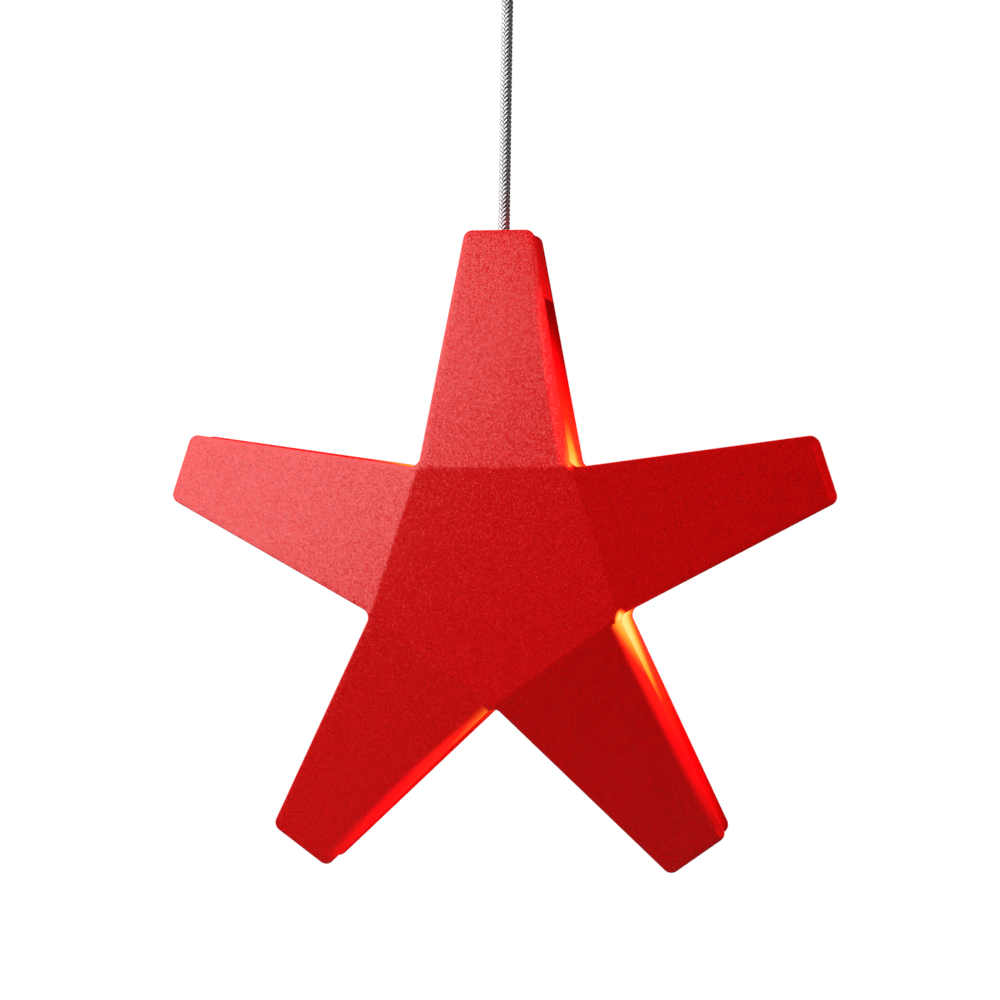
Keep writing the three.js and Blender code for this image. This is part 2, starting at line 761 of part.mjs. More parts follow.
// Bulb, from its tip contact down
const tipTop = contactLow - gap;
const insulatorTop = tipTop - tipContactHeight - gap;
const bulbCapTop = insulatorTop - insulatorHeight - gap;
const bulbCapLow = bulbCapTop - bulbCapLength;
const tip = rod(tipContactRadius, tipTop - tipContactHeight, tipTop, smallSides);
piece(star, 'bulb_tip_contact', tip, nickel);
const insulatorProfile = [
  [0, insulatorTop - insulatorHeight],
  [bulbCapRadius - threadDepth, insulatorTop - insulatorHeight],
  [insulatorTopRadius, insulatorTop],
  [0, insulatorTop],
];
piece(star, 'bulb_insulator', turned(insulatorProfile), blackPlastic);
const bulbCapBore = bulbCapRadius - threadDepth - bulbCapWall;
const threadPitch = bulbCapLength / (threadTurns + 1);
const bulbCapProfile = [[bulbCapBore, bulbCapLow], [bulbCapRadius, bulbCapLow]];
for (let i = 0; i < threadTurns; i += 1) {
  const low = bulbCapLow + (i + 1 / 2) * threadPitch;
  bulbCapProfile.push([bulbCapRadius - threadDepth, low + threadPitch / 2]);
  bulbCapProfile.push([bulbCapRadius, low + threadPitch]);
}
bulbCapProfile.push([bulbCapRadius - threadDepth, bulbCapTop], [bulbCapBore, bulbCapTop]);
piece(star, 'bulb_cap', turned(bulbCapProfile), nickel);

// The globe runs from its neck inside the cap to a ball, as a shell that is open at the neck
const neckTop = bulbCapTop - bulbCapLength / 2;
const glassNeckRadius = bulbCapBore - gap;
const neckLow = bulbCapLow - gap;
const ballJoin = Math.asin(bulbNeckRadius / globeRadius);
const ballMiddle = neckLow - bulbNeckHeight - globeRadius * Math.cos(ballJoin);
const ballSteps = 9;
function globeLine(wall) {
  const line = [[glassNeckRadius - wall, neckTop], [glassNeckRadius - wall, neckLow]];
  line.push([bulbNeckRadius - wall, neckLow - wall]);
  for (let i = 0; i <= ballSteps; i += 1) {
    const turn = ballJoin + ((Math.PI - ballJoin) * i) / ballSteps;
    const reach = globeRadius - wall;
    line.push([reach * Math.sin(turn), ballMiddle + reach * Math.cos(turn)]);
  }
  line[line.length - 1][0] = 0;
  return line;
}
const globe = turned([...globeLine(0), ...globeLine(globeWall).reverse()]);
piece(star, 'bulb_globe', globe, opalGlass);

const bulbStemLow = neckTop - bulbStemLength;
const stemProfile = [
  [0, bulbStemLow],
  [bulbStemRadius, bulbStemLow + bulbStemRadius],
  [bulbStemRadius, neckLow],
  [glassNeckRadius - globeWall - gap, neckTop - globeWall],
  [0, neckTop - globeWall],
];
piece(star, 'bulb_stem', turned(stemProfile, smallSides), clearGlass);
const filamentTop = bulbStemLow - gap - filamentRadius;
const filamentRouteShares = [
  [-1, 0.9], [-0.75, 1], [-0.5, 0.3], [-0.25, 0], [0, 0], [0.25, 0], [0.5, 0.3], [0.75, 1], [1, 0.9],
];
const filamentRoute = filamentRouteShares.map(([across, down]) => (
  [across * filamentReach, 0, filamentTop - down * filamentDrop]
));
piece(star, 'bulb_filament', wire(filamentRoute, filamentRadius, wireSides, 16), tungsten);

// Ceiling fitting, measured from the ceiling
const ceiling = new THREE.Group();

const fixingDrills = [-1, 1].map((side) => rod(
  fixingHoleRadius, -ceilingPlateSheet - overrun, overrun, smallSides,
).translate(0, (side * fixingHoleSpacing) / 2, 0));
const ceilingDisc = rod(ceilingPlateRadius, -ceilingPlateSheet, 0, fineSides);
piece(ceiling, 'ceiling_plate', cut(ceilingDisc, ...fixingDrills), zincSteel);

const hookTop = -ceilingPlateSheet - gap;
const loopMiddle = hookTop - hookBaseSheet / 2 - hookRouteShares[0][1] * hookLoopRadius;
const hookRoute = hookRouteShares.map(([across, up]) => (
  [across * hookLoopRadius, 0, loopMiddle + up * hookLoopRadius]
));
const hookBase = rod(hookBaseRadius, hookTop - hookBaseSheet, hookTop, smallSides);
const hookWire = wire(hookRoute, hookWireRadius, wireSides, 24);
piece(ceiling, 'ceiling_hook', join(hookBase, hookWire), zincSteel);

const eyeMiddle = loopMiddle - hookLoopRadius + hookWireRadius + gap + hangerBarRadius - hangerEyeRadius;
const hangerTop = eyeMiddle - hangerEyeRadius;
const hangerLow = hangerTop - hangerHeight;
const eye = cleaned(new THREE.TorusGeometry(hangerEyeRadius, hangerBarRadius, wireSides, plainSides));
const hangerProfile = [
  [cordBore, hangerLow],
  [hangerRadius, hangerLow],
  [hangerRadius, hangerTop],
  [0, hangerTop],
  [0, hangerLow + hangerBoreDepth],
  [cordBore, hangerLow + hangerBoreDepth],
];
const windowZ = hangerLow + hangerBoreDepth - hangerWindowRadius / 2;
const windowDrill = alongX(rod(hangerWindowRadius, 0, hangerRadius + overrun, smallSides));
const hanger = join(turned(hangerProfile), alongX(eye).translate(0, 0, eyeMiddle));
piece(ceiling, 'cord_hanger', cut(hanger, windowDrill.translate(0, 0, windowZ)), whitePlastic);

// Cup, open at the ceiling, with its gland in the middle of the bottom
const cupLow = -cupHeight;
const swingZ = cupLow - swingAxisDrop;
const cornerShares = [0, 1 / 3, 2 / 3, 1];
function cupLine(wall) {
  const line = [[neckRadius + gap, cupLow + wall]];
  for (const share of cornerShares) {
    const turn = (share * Math.PI) / 2;
    line.push([
      cupRadius - cupCorner + (cupCorner - wall) * Math.sin(turn),
      cupLow + cupCorner - (cupCorner - wall) * Math.cos(turn),
    ]);
  }
  line.push([cupRadius - wall, -cupRimDrop]);
  return line;
}
const cup = turned([...cupLine(0), ...cupLine(cupWall).reverse()], fineSides);
piece(ceiling, 'ceiling_cup', cup, whitePlastic);

const neckTopZ = cupLow + cupWall + gap + glandNutHeight + neckRise;
const collarTop = cupLow - gap;
const glandProfile = [
  [cordBore, neckTopZ],
  [neckRadius, neckTopZ],
  [neckRadius, collarTop],
  [collarRadius, collarTop],
  [collarRadius, collarTop - collarHeight],
  [mouthRimRadius, swingZ - mouthDepth],
  [mouthRadius, swingZ - mouthDepth],
  [mouthThroatRadius, swingZ - mouthDepth / 2],
  [cordBore, swingZ],
];
const setScrewZ = cupLow - setScrewDrop;
const setDrill = alongY(rod(setScrewRadius + gap, 0, collarRadius + overrun, smallSides));
const gland = cut(turned(glandProfile), setDrill.translate(0, 0, setScrewZ));
piece(ceiling, 'cup_gland', gland, whitePlastic);
const setScrew = alongY(rod(setScrewRadius, cordBore, collarRadius, smallSides));
piece(ceiling, 'gland_screw', setScrew.translate(0, 0, setScrewZ), zincSteel);
const glandNutLow = cupLow + cupWall + gap;
const glandNut = sleeve(neckRadius + gap, glandNutRadius, glandNutLow, glandNutLow + glandNutHeight);
piece(ceiling, 'gland_nut', glandNut, whitePlastic);

const innerCordTop = hangerLow + hangerCordDepth;
const innerCord = rod(cordRadius, swingZ + cordEndPlay, innerCordTop, smallSides);
piece(ceiling, 'cord_inside_cup', innerCord, silverTextile);

// Terminal block under the plate, its screw, and the cores that reach it from the hanger
const blockTop = -ceilingPlateSheet - gap;
const blockLow = blockTop - blockHeight;
const portX = blockOffset + blockPortInset;
const blockScrewX = blockOffset + blockLength - blockPortInset;
const portDrills = [-1, 1].map((side) => rod(
  coreRadius + gap, blockLow - overrun, blockLow + blockPortDepth, smallSides,
).translate(portX, (side * blockPortSpacing) / 2, 0));
const blockDrill = rod(blockScrewRadius + gap, blockLow - overrun, blockTop + overrun, smallSides);
const blockBody = block(
  blockOffset, -blockWidth / 2, blockLow,
  blockOffset + blockLength, blockWidth / 2, blockTop,
);
const terminalBlock = cut(blockBody, ...portDrills, blockDrill.translate(blockScrewX, 0, 0));
piece(ceiling, 'terminal_block', terminalBlock, whitePlastic);
const blockScrewProfile = [
  [0, blockLow - gap - blockScrewHeadHeight],
  [blockScrewHeadRadius, blockLow - gap - blockScrewHeadHeight],
  [blockScrewHeadRadius, blockLow - gap],
  [blockScrewRadius, blockLow - gap],
  [blockScrewRadius, blockTop],
  [0, blockTop],
];
const blockScrew = turned(blockScrewProfile, smallSides).translate(blockScrewX, 0, 0);
piece(ceiling, 'block_screw', blockScrew, zincSteel);
for (const side of [-1, 1]) {
  const near = (side * coreSpacing) / 2;
  const far = (side * blockPortSpacing) / 2;
  const rise = windowZ - innerCordTop - gap;
  const route = [
    ...tailBendShares.map(([across, up]) => [across * rise, near, windowZ - rise + up * rise]),
    [hangerRadius, near, windowZ],
    [(hangerRadius + portX) / 2, (near + far) / 2, windowZ + coreSpacing],
    [portX, far, (windowZ + blockLow) / 2],
    [portX, far, blockLow - blockPortDepth],
    [portX, far, blockLow + blockPortDepth - gap],
  ];
  const name = side < 0 ? 'live_tail' : 'neutral_tail';
  piece(ceiling, name, wire(route, coreRadius, wireSides, 20), side < 0 ? brownSleeve : blueSleeve);
}

// The free cord, from the gland to the grip, and the star that hangs on it
const cordPoints = cordRoute.map(([x, down]) => [x, 0, swingZ - down]);
const cordLow = cordPoints[cordPoints.length - 1][2];
const cordGroup = new THREE.Group();
piece(cordGroup, 'cord', wire(cordPoints, cordRadius, smallSides, 20), silverTextile);
star.position.z = cordLow - cordEnd;

const adventStar = new THREE.Group();
adventStar.add(ceiling, cordGroup, star);

export default adventStar;
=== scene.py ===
"""Looks of the advent star.

Two folded, powder-coated stars stand back to back, hang on a braided cord and are lit from inside
by the bulb's lamp, with much of that light painted into the plates' emission.
Sizes are in millimetres, and a mesh is turned to metres when its piece is made.
"""

from __future__ import annotations

import json
import logging
import math
from dataclasses import dataclass, field
from enum import Enum
from typing import Iterable, Sequence

import bmesh
import bpy
import numpy as np
from mathutils import Matrix, Vector

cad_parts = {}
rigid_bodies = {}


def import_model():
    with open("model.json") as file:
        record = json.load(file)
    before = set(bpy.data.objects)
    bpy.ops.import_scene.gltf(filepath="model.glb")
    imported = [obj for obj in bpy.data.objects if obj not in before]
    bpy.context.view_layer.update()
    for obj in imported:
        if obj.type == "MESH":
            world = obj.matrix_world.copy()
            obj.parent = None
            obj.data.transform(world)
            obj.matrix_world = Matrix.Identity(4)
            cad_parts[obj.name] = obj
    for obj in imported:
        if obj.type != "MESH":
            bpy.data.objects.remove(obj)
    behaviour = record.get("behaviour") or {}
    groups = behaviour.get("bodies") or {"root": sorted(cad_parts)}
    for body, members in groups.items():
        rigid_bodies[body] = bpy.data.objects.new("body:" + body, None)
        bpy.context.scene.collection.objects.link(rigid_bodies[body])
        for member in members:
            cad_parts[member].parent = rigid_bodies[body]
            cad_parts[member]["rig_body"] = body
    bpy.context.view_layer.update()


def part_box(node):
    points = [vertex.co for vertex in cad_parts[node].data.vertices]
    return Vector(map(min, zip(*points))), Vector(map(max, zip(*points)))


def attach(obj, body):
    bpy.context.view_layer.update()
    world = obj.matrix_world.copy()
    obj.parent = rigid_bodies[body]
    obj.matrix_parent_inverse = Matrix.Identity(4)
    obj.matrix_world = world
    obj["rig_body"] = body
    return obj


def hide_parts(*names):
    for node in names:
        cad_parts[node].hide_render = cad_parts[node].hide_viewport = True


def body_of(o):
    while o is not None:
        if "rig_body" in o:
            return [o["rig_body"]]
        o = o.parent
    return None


LOG = logging.getLogger("advent_star")
MM = 0.001
TAU = 2 * math.pi
TINY = 1e-6
REAR_SCREWS = tuple(f"rear_screw_{arm}" for arm in (1, 2, 3, 4))
STRAP_SCREWS = ("strap_screw_left", "strap_screw_right")

Point = tuple[float, float, float]
Place = tuple[float, float]
Colour = tuple[float, float, float]


class Body(Enum):
    """The bodies that pieces ride on."""

    CEILING = "ceiling_fitting"
    CORD = "hanging_cord"
    STAR = "star"
    BULB = "bulb"


class Way(Enum):
    """The way that a turned piece's axis points."""

    UP = Matrix(((1, 0, 0), (0, 1, 0), (0, 0, 1)))
    BACK = Matrix(((1, 0, 0), (0, 0, 1), (0, -1, 0)))
    RIGHT = Matrix(((0, 0, 1), (0, 1, 0), (-1, 0, 0)))


class Cut(Enum):
    """What one closed mesh does to another."""

    OFF = "DIFFERENCE"
    ON = "UNION"


# Meshes


@dataclass
class Shape:
    """Corners and faces of a closed shape, in millimetres."""

    corners: list[Point]
    faces: list[tuple[int, ...]]

    def moved(self, x: float = 0, y: float = 0, z: float = 0) -> Shape:
        """The shape, moved by a distance along each axis."""
        return Shape([(a + x, b + y, c + z) for a, b, c in self.corners], self.faces)

    def laid(self, way: Way) -> Shape:
        """The shape with its own up axis laid another way."""
        return Shape([tuple(way.value @ Vector(c)) for c in self.corners], self.faces)

    def mesh(self, name: str) -> bpy.types.Mesh:
        """A Blender mesh in metres with its faces turned outwards.

        Args:
            name: The mesh's name.

        Returns:
            The new mesh.
        """
        mesh = bpy.data.meshes.new(name)
        mesh.from_pydata([Vector(c) * MM for c in self.corners], [], self.faces)
        work = bmesh.new()
        work.from_mesh(mesh)
        bmesh.ops.recalc_face_normals(work, faces=work.faces[:])
        work.to_mesh(mesh)
        work.free()
        return mesh


@dataclass(frozen=True)
class Span:
    """The lowest and highest corner of a CAD node, in millimetres."""

    low: Vector
    high: Vector

    @classmethod
    def of(cls, node: str) -> Span:
        """The span of a node by its name."""
        low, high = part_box(node)
        return cls(low / MM, high / MM)

    @property
    def middle(self) -> Vector:
        """The middle of the span."""
        return (self.low + self.high) / 2

    @property
    def size(self) -> Vector:
        """The length of each side."""
        return self.high - self.low

    @property
    def upright(self) -> tuple[float, float, float]:
        """The lower end, the upper end and the radius of an upright turned node."""
        return self.low.z, self.high.z, self.size.x / 2


def clamped(value: float, low: float = 0.0) -> float:
    """A value kept from sinking below the lowest or rising over one."""
    return min(1.0, max(low, value))


def circle(radius: float, height: float, count: int) -> list[Point]:
    """The corners of a level circle."""
    turns = [TAU * i / count for i in range(count)]
    return [(radius * math.cos(turn), radius * math.sin(turn), height) for turn in turns]


def arc(middle: Place, radius: float, start: float, end: float, steps: int) -> list[Place]:
    """Points along an arc.

    Args:
        middle: Its middle.
        radius: Its radius.
        start: The angle that it starts at.
        end: The angle that it ends at.
        steps: Its segments.

    Returns:
        One point more than it has segments.
    """
    turns = [start + (end - start) * i / steps for i in range(steps + 1)]
    return [(middle[0] + radius * math.cos(t), middle[1] + radius * math.sin(t)) for t in turns]


def band(low: Sequence[int], high: Sequence[int]) -> list[tuple[int, ...]]:
    """Faces between two closed rows of corners.

    Args:
        low: One row's corners, by number. A row of one corner is a pole.
        high: The other's.

    Returns:
        The faces.
    """
    count = max(len(low), len(high))
    faces = []
    for i in range(count):
        j = (i + 1) % count
        ring = (low[i % len(low)], low[j % len(low)], high[j % len(high)], high[i % len(high)])
        faces.append(tuple(dict.fromkeys(ring)))
    return [face for face in faces if len(face) > 2]


def banded(rings: Sequence[Sequence[Point]], looped: bool = False) -> Shape:
    """Joins rings of corners by bands of faces.

    Args:
        rings: The rings, in their order.
        looped: Whether the last ring joins the first. If not, each of the two gets a cap.

    Returns:
        The closed shape.
    """
    rows, count = [], 0
    for ring in rings:
        rows.append(range(count, count + len(ring)))
        count += len(ring)
    faces = [] if looped else [tuple(rows[0]), tuple(rows[-1])]
    for low, high in zip(rows, rows[1:] + rows[: int(looped)]):
        faces += band(low, high)
    return Shape([tuple(corner) for ring in rings for corner in ring], faces)


def rod(radius: float, low: float, high: float) -> list[Place]:
    """The profile of a solid round rod."""
    return [(0, low), (radius, low), (radius, high), (0, high)]


def sleeve(bore: float, radius: float, low: float, high: float) -> list[Place]:
    """The profile of a round rod with a bore."""
    return [(bore, low), (radius, low), (radius, high), (bore, high)]


def softened(profile: Sequence[Place], radius: float, steps: int = 3) -> list[Place]:
    """Rounds the corners of a closed profile, apart from those on the axis.

    Args:
        profile: Points as (radius, height).
        radius: The rounding, made smaller where a side is short.
        steps: Segments of each rounding.

    Returns:
        The profile with its corners rounded.
    """
    points = [Vector(p) for p in profile]
    rounded = []
    for i, corner in enumerate(points):
        sides = [points[i - 1] - corner, points[(i + 1) % len(points)] - corner]
        reach = min(radius, *(0.45 * side.length for side in sides))
        if corner.x < TINY or reach < TINY:
            rounded.append(tuple(corner))
            continue
        start, end = (corner + side.normalized() * reach for side in sides)
        for step in range(steps + 1):
            t = step / steps
            rounded.append(tuple(start * (1 - t) ** 2 + corner * 2 * t * (1 - t) + end * t**2))
    return rounded


def lathe(profile: Sequence[Place], sides: int = 64, way: Way = Way.UP) -> Shape:
    """Turns a closed profile of (radius, height) about an axis."""
    rings = [circle(out, height, 1 if out < TINY else sides) for out, height in profile]
    return banded(rings, looped=True).laid(way)


def drill(radius: float, low: float, high: float, sides: int = 24, way: Way = Way.UP) -> Shape:
    """A plain round drill between two places on its axis."""
    return lathe(rod(radius, low, high), sides, way)


def smooth_line(points: Sequence[Point], steps: int) -> np.ndarray:
    """A smooth line through points, evenly stepped.

    Args:
        points: The points that it passes.
        steps: The number of its segments.

    Returns:
        An array of steps + 1 points.
    """
    p = np.array(points, float)
    dt = np.sqrt(np.linalg.norm(np.diff(p, axis=0), axis=1))
    slopes = np.diff(p, axis=0) / dt[:, None]
    inner = (slopes[:-1] * dt[1:, None] + slopes[1:] * dt[:-1, None]) / (dt[:-1] + dt[1:])[:, None]
    tangents = np.vstack([slopes[:1], inner, slopes[-1:]])
    dense = []
    for i, span in enumerate(dt):
        t = np.linspace(0, 1, 24, endpoint=i == len(dt) - 1)[:, None]
        dense.append(
            (2 * t**3 - 3 * t**2 + 1) * p[i]
            + (t**3 - 2 * t**2 + t) * span * tangents[i]
            + (3 * t**2 - 2 * t**3) * p[i + 1]
            + (t**3 - t**2) * span * tangents[i + 1]
        )
    line = np.vstack(dense)
    along = np.concatenate([[0], np.cumsum(np.linalg.norm(np.diff(line, axis=0), axis=1))])
    even = np.linspace(0, along[-1], steps + 1)
    return np.stack([np.interp(even, along, line[:, k]) for k in range(3)], axis=1)


def sweep(points: Sequence[Point], radius: float, steps: int = 80, sides: int = 16) -> Shape:
    """A round wire along a smooth line, with rounded ends.

    Args:
        points: The points that the wire passes.
        radius: Its radius.
        steps: Segments along it.
        sides: Sides round it.

    Returns:
        The closed wire.
    """
    line = smooth_line(points, steps)
    ways = np.gradient(line, axis=0)
    ways /= np.linalg.norm(ways, axis=1)[:, None]
    side = np.cross(ways[0], (0, 1, 0) if abs(ways[0][1]) < 0.9 else (1, 0, 0))
    rings = []
    plan = [(0, 0.55, -0.3), *[(i, 1.0, 0.0) for i in range(steps + 1)], (steps, 0.55, 0.3)]
    for i, share, push in plan:
        side = side - ways[i] * (side @ ways[i])
        side /= np.linalg.norm(side)
        other = np.cross(ways[i], side)
        middle = line[i] + ways[i] * radius * push
        around = circle(radius * share, 0, sides)
        rings.append([tuple(middle + side * a + other * b) for a, b, _ in around])
    return banded(rings)


def threaded(
    radius: float, depth: float, pitch: float, bore: float, low: float, high: float, sides: int = 48
) -> Shape:
    """A sleeve with a rolled thread on its outside.

    Args:
        radius: Over the crests.
        depth: Of the thread.
        pitch: From crest to crest.
        bore: Radius of the bore.
        low: Height of the lower end.
        high: Height of the upper end.
        sides: Sides round it.

    Returns:
        The closed sleeve.
    """
    rows = max(8, round(8 * (high - low) / pitch))
    rings = []
    for row in range(rows + 1):
        height = low + (high - low) * row / rows
        ring = []
        for k, (x, y, z) in enumerate(circle(1, height, sides)):
            out = radius - depth * (0.5 - 0.5 * math.cos(TAU * (height / pitch - k / sides)))
            ring.append((out * x, out * y, z))
        rings.append(ring)
    return banded([*rings, circle(bore, high, sides), circle(bore, low, sides)], looped=True)


def block(low: Vector, high: Vector) -> Shape:
    """A block between two corners."""
    spans = ((low.x, high.x), (low.y, high.y), (low.z, high.z))
    corners = [(x, y, z) for x in spans[0] for y in spans[1] for z in spans[2]]
    faces = [(0, 1, 3, 2), (4, 6, 7, 5), (0, 4, 5, 1), (2, 3, 7, 6), (0, 2, 6, 4), (1, 5, 7, 3)]
    return Shape(corners, faces)


def hex_nut(across: float, bore: float, low: float, high: float, sides: int = 48) -> Shape:
    """A hexagonal nut with a round bore.

    Args:
        across: Across the flats.
        bore: Radius of the bore.
        low: Height of its lower face.
        high: Height of its upper face.
        sides: Sides of the bore.

    Returns:
        The closed nut.
    """
    flat = []
    for k, (x, y, _) in enumerate(circle(across / 2, 0, sides)):
        lean = math.cos((TAU * k / sides + TAU / 12) % (TAU / 6) - TAU / 12)
        flat.append((x / lean, y / lean))
    lower, upper = ([(x, y, z) for x, y in flat] for z in (low, high))
    return banded([lower, circle(bore, low, sides), circle(bore, high, sides), upper], looped=True)


# Blender objects


def linked(name: str, data: bpy.types.ID) -> bpy.types.Object:
    """A new object in the scene."""
    obj = bpy.data.objects.new(name, data)
    bpy.context.scene.collection.objects.link(obj)
    return obj


def settle(obj: bpy.types.Object) -> None:
    """Turns an object's modifiers into its mesh.

    Args:
        obj: A mesh object with live modifiers.
    """
    graph = bpy.context.evaluated_depsgraph_get()
    mesh = bpy.data.meshes.new_from_object(obj.evaluated_get(graph))
    obj.modifiers.clear()
    old = obj.data
    obj.data = mesh
    bpy.data.meshes.remove(old)


def raw(name: str, shape: Shape) -> bpy.types.Object:
    """An object with a shape as its mesh, not dressed yet."""
    full = f"{name}_fine"
    return linked(full, shape.mesh(full))


def machine(obj: bpy.types.Object, cut: Cut, *tools: Shape) -> None:
    """Cuts shapes off an object, or joins them on.

    Args:
        obj: The object to change.
        cut: Off or on.
        tools: The shapes.
    """
    for tool in tools:
        cutter = linked("tool", tool.mesh("tool"))
        modifier = obj.modifiers.new("cut", "BOOLEAN")
        modifier.operation = cut.value
        modifier.solver = "EXACT"
        modifier.object = cutter
        settle(obj)
        bpy.data.objects.remove(cutter)


def bevelled(obj: bpy.types.Object, width: float, segments: int = 2, over: float = 35) -> None:
    """Rounds an object's sharp edges.

    Args:
        obj: The object.
        width: Of the rounding, in millimetres.
        segments: Of the rounding.
        over: The angle in degrees past which an edge is sharp.
    """
    modifier = obj.modifiers.new("edge", "BEVEL")
    modifier.width = width * MM
    modifier.segments = segments
    modifier.limit_method = "ANGLE"
    modifier.angle_limit = math.radians(over)
    modifier.use_clamp_overlap = True
    settle(obj)


def paint_lamp_light(obj: bpy.types.Object, shares: Sequence[float]) -> None:
    """Writes how much painted lamp light each corner of an object gets; the coat's emission reads
    it.
    """
    mark = obj.data.attributes.new("lamp_share", "FLOAT", "POINT")
    mark.data.foreach_set("value", shares)


def finished(
    obj: bpy.types.Object, body: Body, finish: Finish, nodes: Iterable[str] = (), sharp: float = 38
) -> bpy.types.Object:
    """Dresses an object and lets it stand for its CAD nodes.

    Args:
        obj: The object with its final mesh.
        body: What it rides on.
        finish: Its finish.
        nodes: The CAD nodes, where they differ from the object's name without its ending.
        sharp: The angle in degrees past which shading breaks.

    Returns:
        The same object.
    """
    obj.data.materials.clear()
    obj.data.materials.append(finish.material())
    obj.data.shade_smooth()
    obj.data.set_sharp_from_angle(angle=math.radians(sharp))
    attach(obj, body.value)
    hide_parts(*(tuple(nodes) or (obj.name.removesuffix("_fine"),)))
    LOG.info("%s: %d faces on %s", obj.name, len(obj.data.polygons), body.value)
    return obj


def made(name: str, shape: Shape, body: Body, finish: Finish) -> bpy.types.Object:
    """A finished piece straight from a shape, which stands for the node of its name."""
    return finished(raw(name, shape), body, finish)


# Node trees


class Bench:
    """A node tree that is being built."""

    def __init__(self, tree: bpy.types.NodeTree) -> None:
        """Takes the tree to add to."""
        self.tree = tree

    def first(self, kind: str) -> bpy.types.Node:
        """The first node of a type that the tree came with."""
        return next(node for node in self.tree.nodes if node.type == kind)

    def feed(self, node: bpy.types.Node, inputs: dict[int | str, object]) -> bpy.types.Node:
        """Links or sets a node's inputs.

        Args:
            node: The node.
            inputs: A socket or a value for each input, by its name or its place.

        Returns:
            The same node.
        """
        for key, source in inputs.items():
            if isinstance(source, bpy.types.NodeSocket):
                self.tree.links.new(source, node.inputs[key])
            else:
                node.inputs[key].default_value = source
        return node

    def node(
        self, kind: str, inputs: dict[int | str, object] | None = None, **settings: object
    ) -> bpy.types.Node:
        """A new node.

        Args:
            kind: Its Blender type.
            inputs: Its inputs, as in feed.
            settings: Its properties.

        Returns:
            The node.
        """
        node = self.tree.nodes.new(kind)
        for name, value in settings.items():
            setattr(node, name, value)
        return self.feed(node, inputs or {})

    def out(
        self, kind: str, inputs: dict[int | str, object] | None = None, **settings: object
    ) -> bpy.types.NodeSocket:
        """The first output of a new node, made as in node."""
        return self.node(kind, inputs, **settings).outputs[0]

    def maths(self, what: str, *sources: object) -> bpy.types.NodeSocket:
        """A Math node's result."""
        return self.out("ShaderNodeMath", dict(enumerate(sources)), operation=what)

    def vector(self, what: str, *sources: object) -> bpy.types.NodeSocket:
        """A Vector Math node's vector result."""
        inputs = dict(enumerate(sources))
        return self.out("ShaderNodeVectorMath", inputs, operation=what)

    def scaled(self, a: object, by: object) -> bpy.types.NodeSocket:
        """A vector times a number."""
        inputs = {0: a, "Scale": by}
        return self.out("ShaderNodeVectorMath", inputs, operation="SCALE")

    def length(self, a: object) -> bpy.types.NodeSocket:
        """A vector's length."""
        return self.node("ShaderNodeVectorMath", {0: a}, operation="LENGTH").outputs["Value"]

    def apart(self, a: object) -> Sequence[bpy.types.NodeSocket]:
        """A vector's three parts."""
        return self.node("ShaderNodeSeparateXYZ", {0: a}).outputs

    def upwards(self, height: object) -> bpy.types.NodeSocket:
        """A vector straight up."""
        return self.out("ShaderNodeCombineXYZ", {2: height})

    def where(self) -> bpy.types.NodeSocket:
        """The place on the object."""
        return self.node("ShaderNodeTexCoord").outputs["Object"]

    def facing(self) -> bpy.types.NodeSocket:
        """The surface's normal."""
        return self.node("ShaderNodeNewGeometry").outputs["Normal"]

    def noise(self, where: object, *sizes: object) -> bpy.types.NodeSocket:
        """Noise of a scale, a detail and a roughness."""
        inputs = {0: where, **dict(enumerate(sizes, start=2))}
        return self.out("ShaderNodeTexNoise", inputs)

    def cells(self, where: object, scale: object, feature: str) -> dict[str, bpy.types.NodeSocket]:
        """Voronoi cells, as their outputs by name."""
        inputs = {"Vector": where, "Scale": scale}
        return self.node("ShaderNodeTexVoronoi", inputs, feature=feature).outputs

    def spread(
        self, value: object, low: object, high: object, *to: float, **settings: object
    ) -> bpy.types.NodeSocket:
        """A value mapped from one range to another.

        Args:
            value: The socket or value.
            low: Start of its range.
            high: End of its range.
            to: Start and end of the new range, 0 and 1 if left out.
            settings: The node's properties, for a mapping that isn't smooth.

        Returns:
            The output socket.
        """
        inputs = dict(enumerate((value, low, high, *(to or (0.0, 1.0)))))
        settings = settings or {"interpolation_type": "SMOOTHSTEP"}
        return self.out("ShaderNodeMapRange", inputs, **settings)

    def ramp(self, value: object, stops: Sequence[tuple[float, Colour]]) -> bpy.types.NodeSocket:
        """A colour picked from stops.

        Args:
            value: The socket that picks, from 0 to 1.
            stops: Pairs of place and colour.

        Returns:
            The colour socket.
        """
        node = self.node("ShaderNodeValToRGB", {0: value})
        elements = node.color_ramp.elements
        while len(elements) < len(stops):
            elements.new(0.5)
        for element, (place, colour) in zip(elements, stops):
            element.position = place
            element.color = (*colour, 1)
        return node.outputs[0]

    def blended(self, share: object, *colours: object) -> bpy.types.NodeSocket:
        """Two colours mixed by a share."""
        full = [(*colour, 1) if isinstance(colour, tuple) else colour for colour in colours]
        inputs = {0: share, 6: full[0], 7: full[1]}
        return self.node("ShaderNodeMix", inputs, data_type="RGBA").outputs[2]

    def shared(self, name: str, inputs: dict[int | str, object]) -> list[bpy.types.NodeSocket]:
        """The outputs of a shared shader group."""
        tree = ShadeGroups.get(name)
        return list(self.node("ShaderNodeGroup", inputs, node_tree=tree).outputs)

    def attribute(self, name: str) -> bpy.types.NodeSocket:
        """A number that the mesh carries."""
        return self.node("ShaderNodeAttribute", attribute_name=name).outputs["Fac"]

    def joined(self, *parts: bpy.types.NodeSocket) -> bpy.types.NodeSocket:
        """Several geometries as one."""
        whole = self.node("GeometryNodeJoinGeometry")
        for part in parts:
            self.feed(whole, {0: part})
        return whole.outputs[0]

